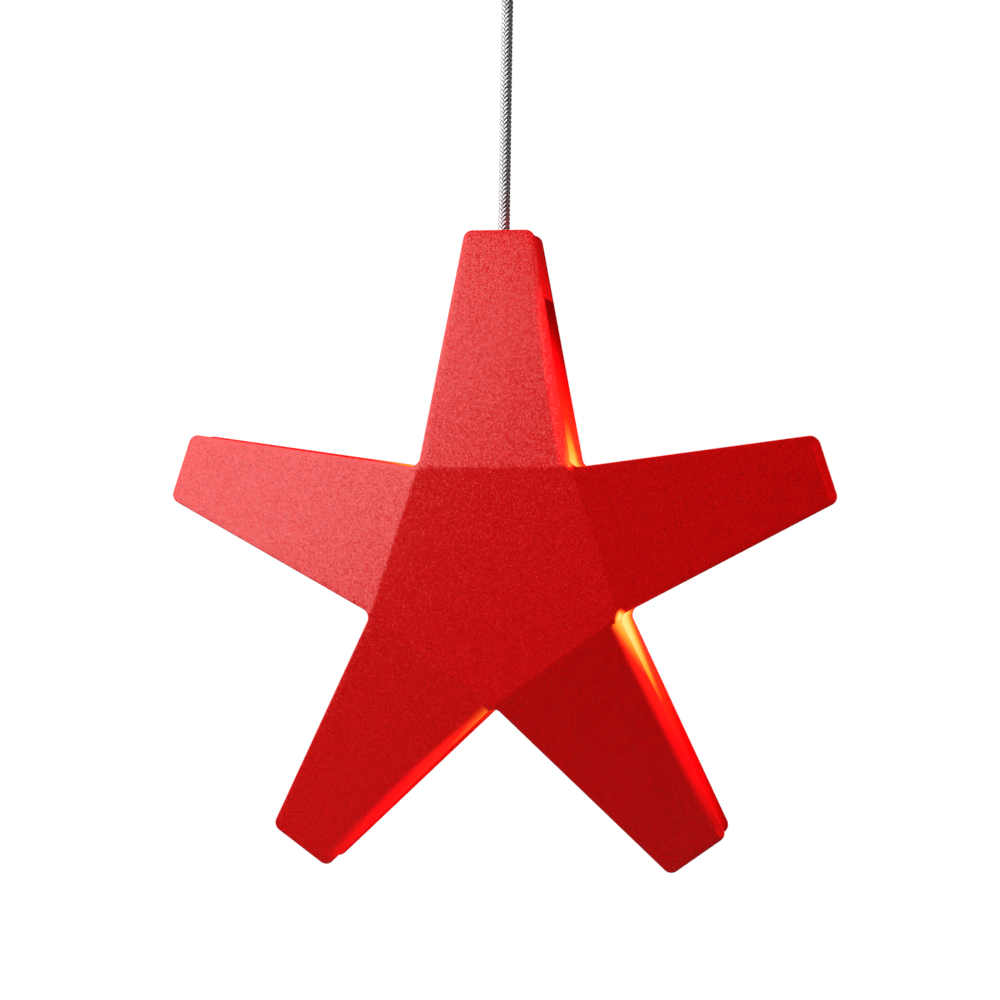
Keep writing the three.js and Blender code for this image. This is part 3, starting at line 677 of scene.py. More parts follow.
    def tube(self, curve: object, radius: object, sides: int) -> bpy.types.NodeSocket:
        """A closed tube along a curve."""
        ring = {"Resolution": sides, "Radius": radius}
        profile = self.out("GeometryNodeCurvePrimitiveCircle", ring)
        inputs = {"Curve": curve, "Profile Curve": profile, "Fill Caps": True}
        return self.out("GeometryNodeCurveToMesh", inputs)

    def shifted(self, part: object, height: object) -> bpy.types.NodeSocket:
        """A geometry moved straight up."""
        inputs = {"Geometry": part, "Translation": self.upwards(height)}
        return self.out("GeometryNodeTransform", inputs)


def group(
    name: str, kind: str, inputs: dict[str, tuple[str, object]], outputs: dict[str, str]
) -> tuple[Bench, Sequence[bpy.types.NodeSocket], bpy.types.Node]:
    """A new node group with named sockets.

    Args:
        name: The group's name.
        kind: Its tree type.
        inputs: Each input's socket type and default, or None for no default.
        outputs: Each output's socket type.

    Returns:
        The bench, what the group is given, and its output node.
    """
    tree = bpy.data.node_groups.new(name, kind)
    for label, (socket, default) in inputs.items():
        item = tree.interface.new_socket(label, in_out="INPUT", socket_type=socket)
        if default is not None:
            item.default_value = default
    for label, socket in outputs.items():
        tree.interface.new_socket(label, in_out="OUTPUT", socket_type=socket)
    bench = Bench(tree)
    return bench, bench.node("NodeGroupInput").outputs, bench.node("NodeGroupOutput")


FLOAT, VECTOR, INT = "NodeSocketFloat", "NodeSocketVector", "NodeSocketInt"
GEOMETRY, MATERIAL, COLOUR = "NodeSocketGeometry", "NodeSocketMaterial", "NodeSocketColor"


class ShadeGroups:
    """The shader node groups that several finishes use, each built once."""

    built: dict[str, bpy.types.NodeTree] = {}

    @classmethod
    def get(cls, name: str) -> bpy.types.NodeTree:
        """A group by its name, built when it is first asked for."""
        if name not in cls.built:
            cls.built[name] = getattr(cls, name)()
        return cls.built[name]

    @staticmethod
    def grain() -> bpy.types.NodeTree:
        """Fine grain of a powder coat: flecks, a height, grains that each lie at a tilt, and a few
        pale flecks that are painted glints.
        """
        floats = ("Fleck", "Cloud", "Height", "PaintedGlint", "Shine")
        bench, given, out = group(
            "PowderGrain",
            "ShaderNodeTree",
            {
                "Grains per metre": (FLOAT, 1000.0),
                "Cloud per metre": (FLOAT, 60.0),
                "Tilt": (FLOAT, 0.1),
            },
            {**{label: FLOAT for label in floats}, "Normal": VECTOR},
        )
        where, grains = bench.where(), given["Grains per metre"]
        fine = bench.noise(where, grains, 1.0, 0.5)
        pebbles = bench.cells(where, bench.maths("MULTIPLY", grains, 0.8), "SMOOTH_F1")
        pebble = bench.maths("MULTIPLY", pebbles["Distance"], -0.5)
        # A few of the cells hold a pale fleck of base colour: a painted glint.
        dots = bench.cells(where, grains, "F1")
        pick = bench.apart(dots["Color"])
        chosen = bench.maths("GREATER_THAN", pick[0], 0.996)
        near = bench.spread(dots["Distance"], 0.25, 0.5, 1.0, 0.0)
        lean = bench.scaled(bench.vector("SUBTRACT", dots["Color"], (0.5, 0.5, 0.5)), given["Tilt"])
        tilted = bench.vector("ADD", bench.facing(), lean)
        results = {
            "Fleck": bench.spread(fine, 0.34, 0.66),
            "Cloud": bench.noise(where, given["Cloud per metre"], 2.0, 0.5),
            "Height": bench.maths("ADD", fine, pebble),
            "PaintedGlint": bench.maths("MULTIPLY", chosen, near),
            "Shine": pick[1],
            "Normal": bench.vector("NORMALIZE", tilted),
        }
        bench.feed(out, results)
        return bench.tree

    @staticmethod
    def drawn() -> bpy.types.NodeTree:
        """Fine lines and spots of a drawn or moulded surface: a mask for the gloss and a height."""
        bench, given, out = group(
            "SurfaceMarks",
            "ShaderNodeTree",
            {"Marks per metre": (FLOAT, 500.0), "Stretch": (VECTOR, (1.0, 1.0, 1.0))},
            {"Mask": FLOAT, "Height": FLOAT},
        )
        where = bench.where()
        place = bench.vector("MULTIPLY", where, given["Stretch"])
        marks = bench.noise(place, given["Marks per metre"], 3.0, 0.6)
        slow = bench.maths("MULTIPLY", given["Marks per metre"], 0.12)
        mixed = bench.maths("MULTIPLY_ADD", bench.noise(where, slow, 2.0, 0.5), 0.6, marks)
        bench.feed(out, {"Mask": bench.spread(mixed, 0.45, 1.15), "Height": marks})
        return bench.tree

    @staticmethod
    def glow() -> bpy.types.NodeTree:
        """The lamp's warm light painted on the plates' inner faces as emission, strongest near the
        lamp.
        """
        bench, given, out = group(
            "PaintedLampLight",
            "ShaderNodeTree",
            {
                "Middle": (VECTOR, (0.0, 0.0, 0.0)),
                "Near": (FLOAT, 0.08),
                "Far": (FLOAT, 0.24),
                "Share": (FLOAT, 1.0),
            },
            {"Colour": COLOUR},
        )
        off = bench.vector("SUBTRACT", bench.where(), given["Middle"])
        level = bench.length(bench.vector("MULTIPLY", off, (1.0, 0.0, 1.0)))
        reach = bench.spread(level, given["Near"], given["Far"], clamp=False)
        # Where the share is low, the colour is that of a place farther from the lamp.
        farther = bench.maths("ADD", reach, 0.32)
        colour = bench.ramp(
            bench.maths("MULTIPLY_ADD", given["Share"], -0.32, farther),
            (
                (0.0, (1.0, 0.80, 0.24)),
                (0.075, (1.0, 0.585, 0.09)),
                (0.145, (1.0, 0.34, 0.015)),
                (0.2, (1.0, 0.11, 0.012)),
                (0.26, (1.0, 0.014, 0.006)),
                (0.56, (0.86, 0.001, 0.003)),
                (0.78, (0.5, 0.001, 0.002)),
                (1.0, (0.08, 0.0, 0.0)),
            ),
        )
        strength = bench.spread(given["Share"], 0.0, 0.5)
        bench.feed(out, {"Colour": bench.blended(strength, (0.0, 0.0, 0.0), colour)})
        return bench.tree


# Finishes


@dataclass(frozen=True)
class Finish:
    """A finish with fine marks: its two shades, its gloss and its bump."""

    name: str
    slot: str
    colour: Colour
    shade: Colour
    gloss: tuple[float, float]  # roughness from and to
    marks: float = 500.0
    stretch: Point = (1.0, 1.0, 1.0)
    bump: float = 0.02  # height of the marks, in millimetres
    metallic: float = 0.0
    level: float = 0.5  # specular level
    coat: float = 0.0
    coat_gloss: float = 0.12

    def material(self) -> bpy.types.Material:
        """The finish's material, built when it is first asked for."""
        return bpy.data.materials.get(self.name) or self.build()

    def build(self) -> bpy.types.Material:
        """Builds the material.

        Returns:
            The material.
        """
        material = bpy.data.materials.new(self.name)
        material.use_nodes = True
        material.diffuse_color = (*self.colour, 1)
        bench = Bench(material.node_tree)
        plain = {
            "Metallic": self.metallic,
            "Specular IOR Level": self.level,
            "Coat Weight": self.coat,
            "Coat Roughness": self.coat_gloss,
        }
        shader = bench.feed(bench.first("BSDF_PRINCIPLED"), plain)
        bench.feed(shader, self.inputs(bench))
        self.extend(bench, shader)
        return material

    def inputs(self, bench: Bench) -> dict[str, object]:
        """Builds what gives the shader its grain or marks.

        Args:
            bench: The material's bench.

        Returns:
            What feeds the shader, by its inputs' names.
        """
        mask, height = bench.shared("drawn", {0: self.marks, 1: self.stretch})
        return {
            "Base Color": bench.blended(mask, self.colour, self.shade),
            "Roughness": self.rough(bench, mask),
            "Normal": self.bumped(bench, {"Height": height}),
        }

    def extend(self, bench: Bench, shader: bpy.types.Node) -> None:
        """Adds what only some finishes have."""

    def rough(self, bench: Bench, mask: object) -> bpy.types.NodeSocket:
        """The roughness that a mask gives."""
        return bench.spread(mask, 0.0, 1.0, *self.gloss, interpolation_type="LINEAR")

    def bumped(self, bench: Bench, inputs: dict[int | str, object]) -> bpy.types.NodeSocket:
        """The normal that a height gives, and another normal if there is one."""
        inputs = {"Strength": 1.0, "Distance": self.bump * MM, **inputs}
        return bench.out("ShaderNodeBump", inputs)


@dataclass(frozen=True)
class PowderCoat(Finish):
    """The plates' powder coat, with the lamp's light painted into its emission where an attribute
    marks the inner face, the outer margins and the strap.
    """

    grains: float = 1200.0
    tilt: float = 0.13
    shine: tuple[float, float] = (0.16, 0.66)  # the least and the most of a grain's clear coat
    # the pale base colour of those few grains: painted glints
    painted_glint: Colour = (0.6, 0.035, 0.03)
    # Where the painted lamp light is centred and how far it reaches.
    glow_middle: float = -475.0  # height of the glow's middle
    glow_near: float = 86.0
    glow_far: float = 246.0

    def inputs(self, bench: Bench) -> dict[str, object]:
        """Builds what gives the shader its grain or marks.

        Args:
            bench: The material's bench.

        Returns:
            What feeds the shader, by its inputs' names.
        """
        sizes = {"Grains per metre": self.grains, "Tilt": self.tilt}
        fleck, cloud, height, painted_glint, shine, normal = bench.shared("grain", sizes)
        tone = bench.maths("MULTIPLY_ADD", cloud, 0.35, bench.maths("MULTIPLY", fleck, 0.65))
        coat = bench.blended(tone, self.shade, self.colour)
        # Painted lamp light: the lamp's warm light and its spill round the edges go into the
        # emission colour.
        glow = {
            "Middle": (0.0, 0.0, self.glow_middle * MM),
            "Near": self.glow_near * MM,
            "Far": self.glow_far * MM,
            "Share": bench.attribute("lamp_share"),
        }
        return {
            # A few grains take the pale colour of the painted glints.
            "Base Color": bench.blended(painted_glint, coat, self.painted_glint),
            "Roughness": self.rough(bench, fleck),
            "Coat Weight": bench.spread(shine, 0.0, 1.0, *self.shine),
            "Normal": self.bumped(bench, {"Height": height, "Normal": normal}),
            "Emission Color": bench.shared("glow", glow)[0],
            "Emission Strength": 1.0,
        }


@dataclass(frozen=True)
class Yarn(Finish):
    """Braided yarn with a soft sheen, with painted shade that makes it darker where it passes under
    another yarn.
    """

    painted_dip_shade: Colour = (0.15, 0.15, 0.155)

    def extend(self, bench: Bench, shader: bpy.types.Node) -> None:
        """Adds the painted shade where a yarn passes under another, and the sheen.

        Args:
            bench: The material's bench.
            shader: Its shader.
        """
        # Painted shade: the base colour goes dark where the yarn passes under another.
        lift = bench.spread(bench.attribute("over"), 0.4, 0.8)
        yarn = shader.inputs["Base Color"].links[0].from_socket
        sheen = {"Sheen Weight": 0.15, "Sheen Roughness": 0.4}
        bench.feed(shader, {"Base Color": bench.blended(lift, self.painted_dip_shade, yarn), **sheen})


@dataclass(frozen=True)
class LitGlass(Finish):
    """Glass that the lamp shines through: it glows, and lets the lamp's own light pass."""

    glow: Colour = (1.0, 0.72, 0.38)
    strength: float = 1.6

    def extend(self, bench: Bench, shader: bpy.types.Node) -> None:
        """Adds the glow, and lets shadow rays pass.

        Args:
            bench: The material's bench.
            shader: Its shader.
        """
        bench.feed(shader, {"Emission Color": (*self.glow, 1), "Emission Strength": self.strength})
        passing = bench.node("ShaderNodeLightPath").outputs["Is Shadow Ray"]
        clear = bench.out("ShaderNodeBsdfTransparent")
        mix = bench.out("ShaderNodeMixShader", {0: passing, 1: shader.outputs[0], 2: clear})
        bench.feed(bench.first("OUTPUT_MATERIAL"), {"Surface": mix})


RED = PowderCoat(
    "red_powder_coat", "red_coat", (0.54, 0.001, 0.0015), (0.5, 0.0008, 0.001), (0.17, 0.25),
    bump=0.06, level=0.3, coat_gloss=0.21,
)  # fmt: skip
ZINC = Finish(
    "zinc_plated_steel", "zinc_steel", (0.6, 0.61, 0.62), (0.44, 0.45, 0.47), (0.22, 0.42),
    marks=700.0, metallic=1.0,
)  # fmt: skip
BRASS = Finish(
    "turned_brass", "brass", (0.72, 0.49, 0.19), (0.55, 0.36, 0.13), (0.2, 0.4),
    marks=600.0, metallic=1.0,
)  # fmt: skip
NICKEL = Finish(
    "nickel_plate", "nickel", (0.66, 0.63, 0.58), (0.5, 0.48, 0.45), (0.14, 0.32),
    marks=600.0, metallic=1.0,
)  # fmt: skip
YARN = Yarn(
    "silver_yarn", "silver_textile", (0.68, 0.68, 0.692), (0.57, 0.57, 0.58), (0.4, 0.58),
    marks=2600.0, stretch=(1.0, 1.0, 0.4), bump=0.03,
)  # fmt: skip
BROWN = Finish(
    "brown_sleeve", "brown_sleeve", (0.1, 0.035, 0.015), (0.07, 0.025, 0.011), (0.35, 0.5),
    marks=400.0,
)  # fmt: skip
BLUE = Finish(
    "blue_sleeve", "blue_sleeve", (0.018, 0.09, 0.38), (0.013, 0.065, 0.29), (0.35, 0.5),
    marks=400.0,
)  # fmt: skip
BLACK = Finish(
    "black_plastic", "black_plastic", (0.014, 0.014, 0.015), (0.009, 0.009, 0.01), (0.3, 0.48),
    marks=900.0,
)  # fmt: skip
WHITE = Finish(
    "white_plastic", "white_plastic", (0.79, 0.79, 0.77), (0.72, 0.72, 0.7), (0.28, 0.42),
    marks=900.0,
)  # fmt: skip
CERAMIC = Finish(
    "glazed_steatite", "steatite", (0.74, 0.69, 0.58), (0.62, 0.57, 0.47), (0.12, 0.3),
    marks=300.0, coat=0.6,
)  # fmt: skip
OPAL = LitGlass(
    "opal_glass", "opal_glass", (0.86, 0.82, 0.74), (0.8, 0.76, 0.68), (0.12, 0.2),
    marks=200.0, bump=0.004,
)  # fmt: skip
STEM_GLASS = LitGlass(
    "stem_glass", "clear_glass", (0.8, 0.82, 0.82), (0.7, 0.72, 0.72), (0.05, 0.1),
    marks=200.0, bump=0.002, strength=0.4,
)  # fmt: skip
TUNGSTEN = LitGlass(
    "glowing_tungsten", "tungsten", (0.5, 0.4, 0.3), (0.4, 0.3, 0.2), (0.3, 0.4),
    marks=900.0, metallic=1.0, strength=3.0,
)  # fmt: skip


# Geometry Nodes pieces


@dataclass(frozen=True)
class NodeTreePiece:
    """A piece whose mesh a Geometry Nodes tree makes on a few base points."""

    tree: bpy.types.NodeTree

    def grow(
        self,
        name: str,
        points: Sequence[Point],
        body: Body,
        finish: Finish,
        nodes: Iterable[str],
        sizes: dict[str, object],
    ) -> bpy.types.Object:
        """Makes the piece.

        Args:
            name: The piece's name.
            points: The base points, in millimetres; a tree that takes a path joins them in order.
            body: What the piece rides on.
            finish: Its finish.
            nodes: The CAD nodes that it stands for.
            sizes: The tree's inputs by name.

        Returns:
            The finished object.
        """
        sockets = {
            item.name: item.identifier
            for item in self.tree.interface.items_tree
            if item.item_type == "SOCKET" and item.in_out == "INPUT"
        }
        edges = [(i, i + 1) for i in range(len(points) - 1)] if "Path" in sockets else []
        mesh = bpy.data.meshes.new(name)
        mesh.from_pydata([Vector(p) * MM for p in points], edges, [])
        obj = linked(name, mesh)
        modifier = obj.modifiers.new("grow", "NODES")
        modifier.node_group = self.tree
        modifier[sockets["Finish"]] = finish.material()
        # A braid's core gets the black finish: painted shade in the gaps between its yarns.
        if "Core finish" in sockets:
            modifier[sockets["Core finish"]] = BLACK.material()
        for label, value in sizes.items():
            modifier[sockets[label]] = value
        settle(obj)
        return finished(obj, body, finish, nodes)


def closing(
    bench: Bench, out: bpy.types.Node, geometry: object, finish: object, kept: object = None
) -> NodeTreePiece:
    """Ends a tree in Realize Instances and Set Material.

    Args:
        bench: The tree's bench.
        out: The group's output node.
        geometry: The geometry to finish.
        finish: The material's socket.
        kept: The socket of a material that stays on the faces that have it.

    Returns:
        The tree as a piece maker.
    """
    real = bench.out("GeometryNodeRealizeInstances", {0: geometry})
    dressed = bench.node("GeometryNodeSetMaterial", {"Geometry": real, "Material": finish})
    if kept is not None:
        other = bench.out("GeometryNodeMaterialSelection", {0: kept})
        bare = bench.out("FunctionNodeBooleanMath", {0: other}, operation="NOT")
        bench.feed(dressed, {"Selection": bare})
    bench.feed(out, {0: dressed.outputs[0]})
    return NodeTreePiece(bench.tree)


def screw_tree() -> NodeTreePiece:
    """Screws with a domed head, a hexagonal socket and a threaded shank, one on each point.

    Returns:
        The tree as a piece maker. A screw's head stands up from its point before it is turned.
    """
    sizes = {
        "Head radius": 3.8,
        "Head height": 2.2,
        "Dome": 0.8,
        "Socket radius": 1.4,
        "Socket depth": 1.2,
        "Shank radius": 1.9,
        "Shank length": 10,
        "Pitch": 0.7,
    }
    bench, given, out = group(
        "SocketScrews",
        "GeometryNodeTree",
        {
            "Points": (GEOMETRY, None),
            **{label: (FLOAT, size * MM) for label, size in sizes.items()},
            "Turn": (VECTOR, (0.0, 0.0, 0.0)),
            "Finish": (MATERIAL, None),
        },
        {"Geometry": GEOMETRY},
    )
    maths, cylinder = bench.maths, "GeometryNodeMeshCylinder"
    height, shank_length = given["Head height"], given["Shank length"]
    straight = maths("SUBTRACT", height, given["Dome"])
    counts = {"Vertices": 48, "Side Segments": 1, "Fill Segments": 8}
    inputs = {**counts, "Radius": given["Head radius"], "Depth": straight}
    head = bench.out(cylinder, inputs, fill_type="TRIANGLE_FAN")
    x, y, z = bench.apart(bench.out("GeometryNodeInputPosition"))
    across = maths("SQRT", maths("MULTIPLY_ADD", x, x, maths("POWER", y, 2.0)))
    share = maths("DIVIDE", across, given["Head radius"])
    crown = maths("SUBTRACT", 1.0, maths("POWER", share, 2.5))
    upper = maths("GREATER_THAN", z, 0.0)
    rise = maths("MULTIPLY", maths("MULTIPLY", crown, upper), given["Dome"])
    lift = bench.upwards(maths("MULTIPLY_ADD", straight, 0.5, rise))
    domed = bench.out("GeometryNodeSetPosition", {"Geometry": head, "Offset": lift})
    depth = maths("MULTIPLY", given["Socket depth"], 2.0)
    inputs = {"Vertices": 6, "Radius": given["Socket radius"], "Depth": depth}
    socket = bench.out(cylinder, inputs, fill_type="NGON")
    inputs = {0: domed, 1: bench.shifted(socket, height)}
    cut = bench.out("GeometryNodeMeshBoolean", inputs, operation="DIFFERENCE", solver="EXACT")
    core = maths("MULTIPLY", given["Shank radius"], 0.9)
    inputs = {"Vertices": 32, "Radius": core, "Depth": shank_length}
    shank = bench.out(cylinder, inputs, fill_type="NGON")
    inputs = {
        "Resolution": 20,
        "Rotations": maths("DIVIDE", shank_length, given["Pitch"]),
        "Start Radius": core,
        "End Radius": core,
        "Height": shank_length,
    }
    spiral = bench.out("GeometryNodeCurveSpiral", inputs)
    thread = bench.tube(spiral, maths("MULTIPLY", given["Shank radius"], 0.1), 5)
    lowered = [
        bench.shifted(part, maths("MULTIPLY", shank_length, drop))
        for part, drop in ((shank, -0.5), (thread, -1.0))
    ]
    whole = bench.joined(cut, *lowered)
    inputs = {"Points": given["Points"], "Instance": whole, "Rotation": given["Turn"]}
    placed = bench.out("GeometryNodeInstanceOnPoints", inputs)
    return closing(bench, out, placed, given["Finish"])


def braid_tree() -> NodeTreePiece:
    """A braided sleeve on a core, along a path: each yarn runs over two and under two others. The
    core has its own dark finish, painted shade in the gaps between yarns.

    Returns:
        The tree as a piece maker.
    """
    sizes = {
        "Lead": 23.2,
        "Sleeve radius": 2.96,
        "Yarn radius": 0.64,
        "Wave": 0.3,
        "Core radius": 2.55,
        "Step": 0.42,
    }
    bench, given, out = group(
        "BraidedSleeve",
        "GeometryNodeTree",
        {
            "Path": (GEOMETRY, None),
            "Yarns each way": (INT, 8),
            **{label: (FLOAT, size * MM) for label, size in sizes.items()},
            "Finish": (MATERIAL, None),
            "Core finish": (MATERIAL, None),
        },
        {"Geometry": GEOMETRY},
    )
    maths, yarns = bench.maths, given["Yarns each way"]
    line = bench.out("GeometryNodeMeshToCurve", {"Mesh": given["Path"]})
    inputs = {"Curve": line, "Length": given["Step"]}
    even = bench.out("GeometryNodeResampleCurve", inputs, mode="LENGTH")
    inputs = {"Geometry": even, "Amount": maths("MULTIPLY", yarns, 2.0)}
    copies = bench.node("GeometryNodeDuplicateElements", inputs, domain="SPLINE")
    number = copies.outputs["Duplicate Index"]
    back = maths("GREATER_THAN", maths("ADD", number, 0.5), yarns)
    way = maths("MULTIPLY_ADD", back, -2.0, 1.0)
    place = maths("MODULO", number, yarns)
    along = bench.node("GeometryNodeSplineParameter").outputs["Length"]
    turns = maths("DIVIDE", along, given["Lead"])
    turn = maths("MULTIPLY_ADD", turns, way, maths("DIVIDE", place, yarns))
    angle = maths("MULTIPLY", turn, TAU)
    crossing = maths("MULTIPLY", maths("MULTIPLY", turns, yarns), maths("MULTIPLY", way, 2.0))
    phase = maths("MULTIPLY_ADD", place, 2.0, crossing)
    swing = maths("COSINE", maths("MULTIPLY_ADD", phase, TAU / 4, -TAU / 8))
    over = maths("MULTIPLY", swing, way)
    outwards = maths("MULTIPLY_ADD", over, given["Wave"], given["Sleeve radius"])
    normal = bench.out("GeometryNodeInputNormal")
    tangent = bench.out("GeometryNodeInputTangent")
    side = bench.vector("CROSS_PRODUCT", tangent, normal)
    radial = bench.vector(
        "ADD",
        bench.scaled(normal, maths("COSINE", angle)),
        bench.scaled(side, maths("SINE", angle)),
    )
    inputs = {
        "Geometry": copies.outputs["Geometry"],
        "Name": "over",
        "Value": maths("MULTIPLY_ADD", over, 0.5, 0.5),
    }
    kind = "GeometryNodeStoreNamedAttribute"
    marked = bench.node(kind, inputs, data_type="FLOAT", domain="POINT")
    inputs = {"Geometry": marked.outputs["Geometry"], "Offset": bench.scaled(radial, outwards)}
    wound = bench.out("GeometryNodeSetPosition", inputs)
    sleeving = bench.tube(wound, given["Yarn radius"], 7)
    # The core's dark finish is painted shade in the gaps between the yarns.
    core = bench.tube(even, given["Core radius"], 24)
    inputs = {"Geometry": core, "Material": given["Core finish"]}
    dark = bench.out("GeometryNodeSetMaterial", inputs)
    whole = bench.joined(sleeving, dark)
    return closing(bench, out, whole, given["Finish"], given["Core finish"])


@dataclass(frozen=True)
class Screw:
    """The sizes of a screw, in millimetres, and the way that it lies."""

    head: float  # radius
    height: float  # of the head with its dome
    dome: float
    socket: float  # radius
    socket_depth: float
    shank: float  # radius
    length: float  # of the shank
    pitch: float = 0.5
    turn: Point = (-TAU / 4, 0.0, 0.0)

    def grow(
        self,
        maker: NodeTreePiece,
        name: str,
        nodes: Sequence[str],
        body: Body,
        finish: Finish = ZINC,
        points: Sequence[Point] = (),
    ) -> None:
        """Makes screws of these sizes.

        Args:
            maker: The screw maker.
            name: The piece's name.
            nodes: The CAD nodes that it stands for.
            body: What it rides on.
            finish: Its finish.
            points: Where the heads start, if the screws don't lie along Y with their heads behind.
        """
        spans = [Span.of(node) for node in nodes]
        heads = points or [(s.middle.x, s.high.y - self.height, s.middle.z) for s in spans]
        sizes = {
            "Head radius": self.head * MM,
            "Head height": self.height * MM,
            "Dome": self.dome * MM,
            "Socket radius": self.socket * MM,
            "Socket depth": self.socket_depth * MM,
            "Shank radius": self.shank * MM,
            "Shank length": self.length * MM,
            "Pitch": self.pitch * MM,
            "Turn": self.turn,
        }
        maker.grow(name, heads, body, finish, nodes, sizes)


def set_screw(screws: NodeTreePiece, node: str, body: Body, finish: Finish, radius: float) -> None:
    """A headless screw with a hexagonal socket, from a node that lies along Y.

    Args:
        screws: The screw maker.
        node: The CAD node.
        body: What it rides on.
        finish: Its finish.
        radius: Its radius.
    """
    length = Span.of(node).size.y
    head = min(1.2, length * 0.4)
    screw = Screw(radius, head, 0.1, radius * 0.5, head * 0.7, radius, length - head)
    screw.grow(screws, f"{node}_fine", (node,), body, finish)


# Stage


@dataclass(frozen=True)
class Stage:
    """The camera, the lamps, the white surroundings and the pale floor."""

    lens: float = 89.023
    sensor: float = 36.0
    eye: Point = (239.93, -1612.69, -404.23)
    yaw: float = 8.5232
    pitch: float = -0.3541
    roll: float = -0.1919
    aim: Point = (0.0, 0.0, -462.0)
    floor_height: float = -1020.0
    floor_radius: float = 1150.0
    ambient: float = 0.09
    sky: Colour = (0.9, 0.95, 1.0)
    mirrored: tuple[float, float] = (0.3, 0.006)  # the room in a gloss, at the sides and ahead

    def camera(self) -> None:
        """Makes the camera at the photograph's viewpoint."""
        data = bpy.data.cameras.new("camera")
        data.lens, data.sensor_width = self.lens, self.sensor
        data.clip_start, data.clip_end = 0.05, 60
        camera = linked("camera", data)
        y, p, r = (math.radians(a) for a in (self.yaw, self.pitch, self.roll))
        turn = Matrix.Rotation(y, 3, "Z") @ Matrix.Rotation(p, 3, "X") @ Matrix.Rotation(r, 3, "Y")
        right, ahead, up = turn.col
        axes = Matrix((right, up, -ahead)).transposed()
        camera.matrix_world = Matrix.Translation(Vector(self.eye) * MM) @ axes.to_4x4()
        bpy.context.scene.camera = camera

    def lamp(
        self, name: str, way: Point, distance: float, sides: Place, power: float, roll: float = 0.0
    ) -> bpy.types.Object:
        """A soft rectangular lamp that faces the star.

        Args:
            name: Its name.
            way: Where it stands, seen from the star's middle.
            distance: From the star's middle, in metres.
            sides: Its sides, in metres.
            power: In watts.
            roll: Its turn about its own axis, in degrees.

        Returns:
            The lamp.
        """
        data = bpy.data.lights.new(name, "AREA")
        data.shape, data.energy = "RECTANGLE", power
        data.size, data.size_y = sides
        lamp = linked(name, data)
        out = Vector(way).normalized()
        lamp.location = Vector(self.aim) * MM + out * distance
        lamp.rotation_mode = "QUATERNION"
        turn = out.to_track_quat("Z", "Y").to_matrix() @ Matrix.Rotation(math.radians(roll), 3, "Z")
        lamp.rotation_quaternion = turn.to_quaternion()
        return lamp

    def lamps(self) -> None:
        """Makes the lamps: a grazing key, a softbox for the sheen and a side light."""
        key = self.lamp(
            "key", way=(-0.56, -0.32, 0.764), distance=3.0, sides=(1.0, 1.0), power=257.0
        )
        key.visible_glossy = False
        softbox = self.lamp(
            "softbox", way=(-0.514, -0.823, 0.24), distance=1.49, sides=(0.722, 1.236), power=11.2,
            roll=-39.7,
        )  # fmt: skip
        softbox.visible_diffuse = False
        side = self.lamp(
            "side", way=(0.97, 0.242, -0.02), distance=1.3, sides=(0.23, 0.23), power=28.0
        )
        side.visible_glossy = False
        lit = bpy.data.collections.new("lit_by_side")
        for obj in bpy.context.scene.objects:
            if body_of(obj) == [Body.STAR.value]:
                lit.objects.link(obj)
        side.light_linking.receiver_collection = lit

    def surroundings(self) -> None:
        """White surroundings for the camera, and a dim room for the object."""
        bpy.context.scene.view_settings.view_transform = "Standard"
        world = bpy.data.worlds.new("room")
        world.use_nodes = True
        bpy.context.scene.world = world
        bench = Bench(world.node_tree)
        path = bench.node("ShaderNodeLightPath").outputs
        # What a gloss mirrors is dark ahead of the star and behind it, and pale at its sides.
        around = bench.apart(bench.node("ShaderNodeTexCoord").outputs["Generated"])
        mirrored = bench.spread(bench.maths("ABSOLUTE", around[1]), 0.4, 0.75, *self.mirrored)
        inputs = {0: path["Is Glossy Ray"], 2: self.ambient, 3: mirrored}
        level = bench.out("ShaderNodeMix", inputs)
        dim = bench.first("BACKGROUND")
        bench.feed(dim, {"Color": (*self.sky, 1), "Strength": level})
        white = bench.out("ShaderNodeBackground", {0: (1.0, 1.0, 1.0, 1.0), 1: 1.0})
        seen = bench.maths("MAXIMUM", path["Is Camera Ray"], path["Is Transmission Ray"])
        mix = bench.out("ShaderNodeMixShader", {0: seen, 1: dim.outputs[0], 2: white})
        bench.feed(bench.first("OUTPUT_WORLD"), {"Surface": mix})

    def floor(self) -> None:
        """The pale floor, which fades out at its rim and shows only from above."""
        profile = rod(self.floor_radius, self.floor_height - 4, self.floor_height)
        floor = linked("floor", lathe(profile, 128).mesh("floor"))
        material = bpy.data.materials.new("pale_floor")
        material.use_nodes = True
        bench = Bench(material.node_tree)
        flat = bench.length(bench.vector("MULTIPLY", bench.where(), (1.0, 1.0, 0.0)))
        radius = self.floor_radius * MM
        fade = bench.spread(flat, radius * 0.45, radius * 0.98, 1.0, 0.0)
        above = bench.maths("GREATER_THAN", bench.apart(bench.facing())[2], 0.5)
        inputs = {
            "Base Color": (0.45, 0.45, 0.45, 1),
            "Roughness": 0.7,
            "Specular IOR Level": 0.1,
            "Alpha": bench.maths("MULTIPLY", fade, above),
        }
        bench.feed(bench.first("BSDF_PRINCIPLED"), inputs)
        floor.data.materials.append(material)
        floor.visible_glossy = False


# The star's plates


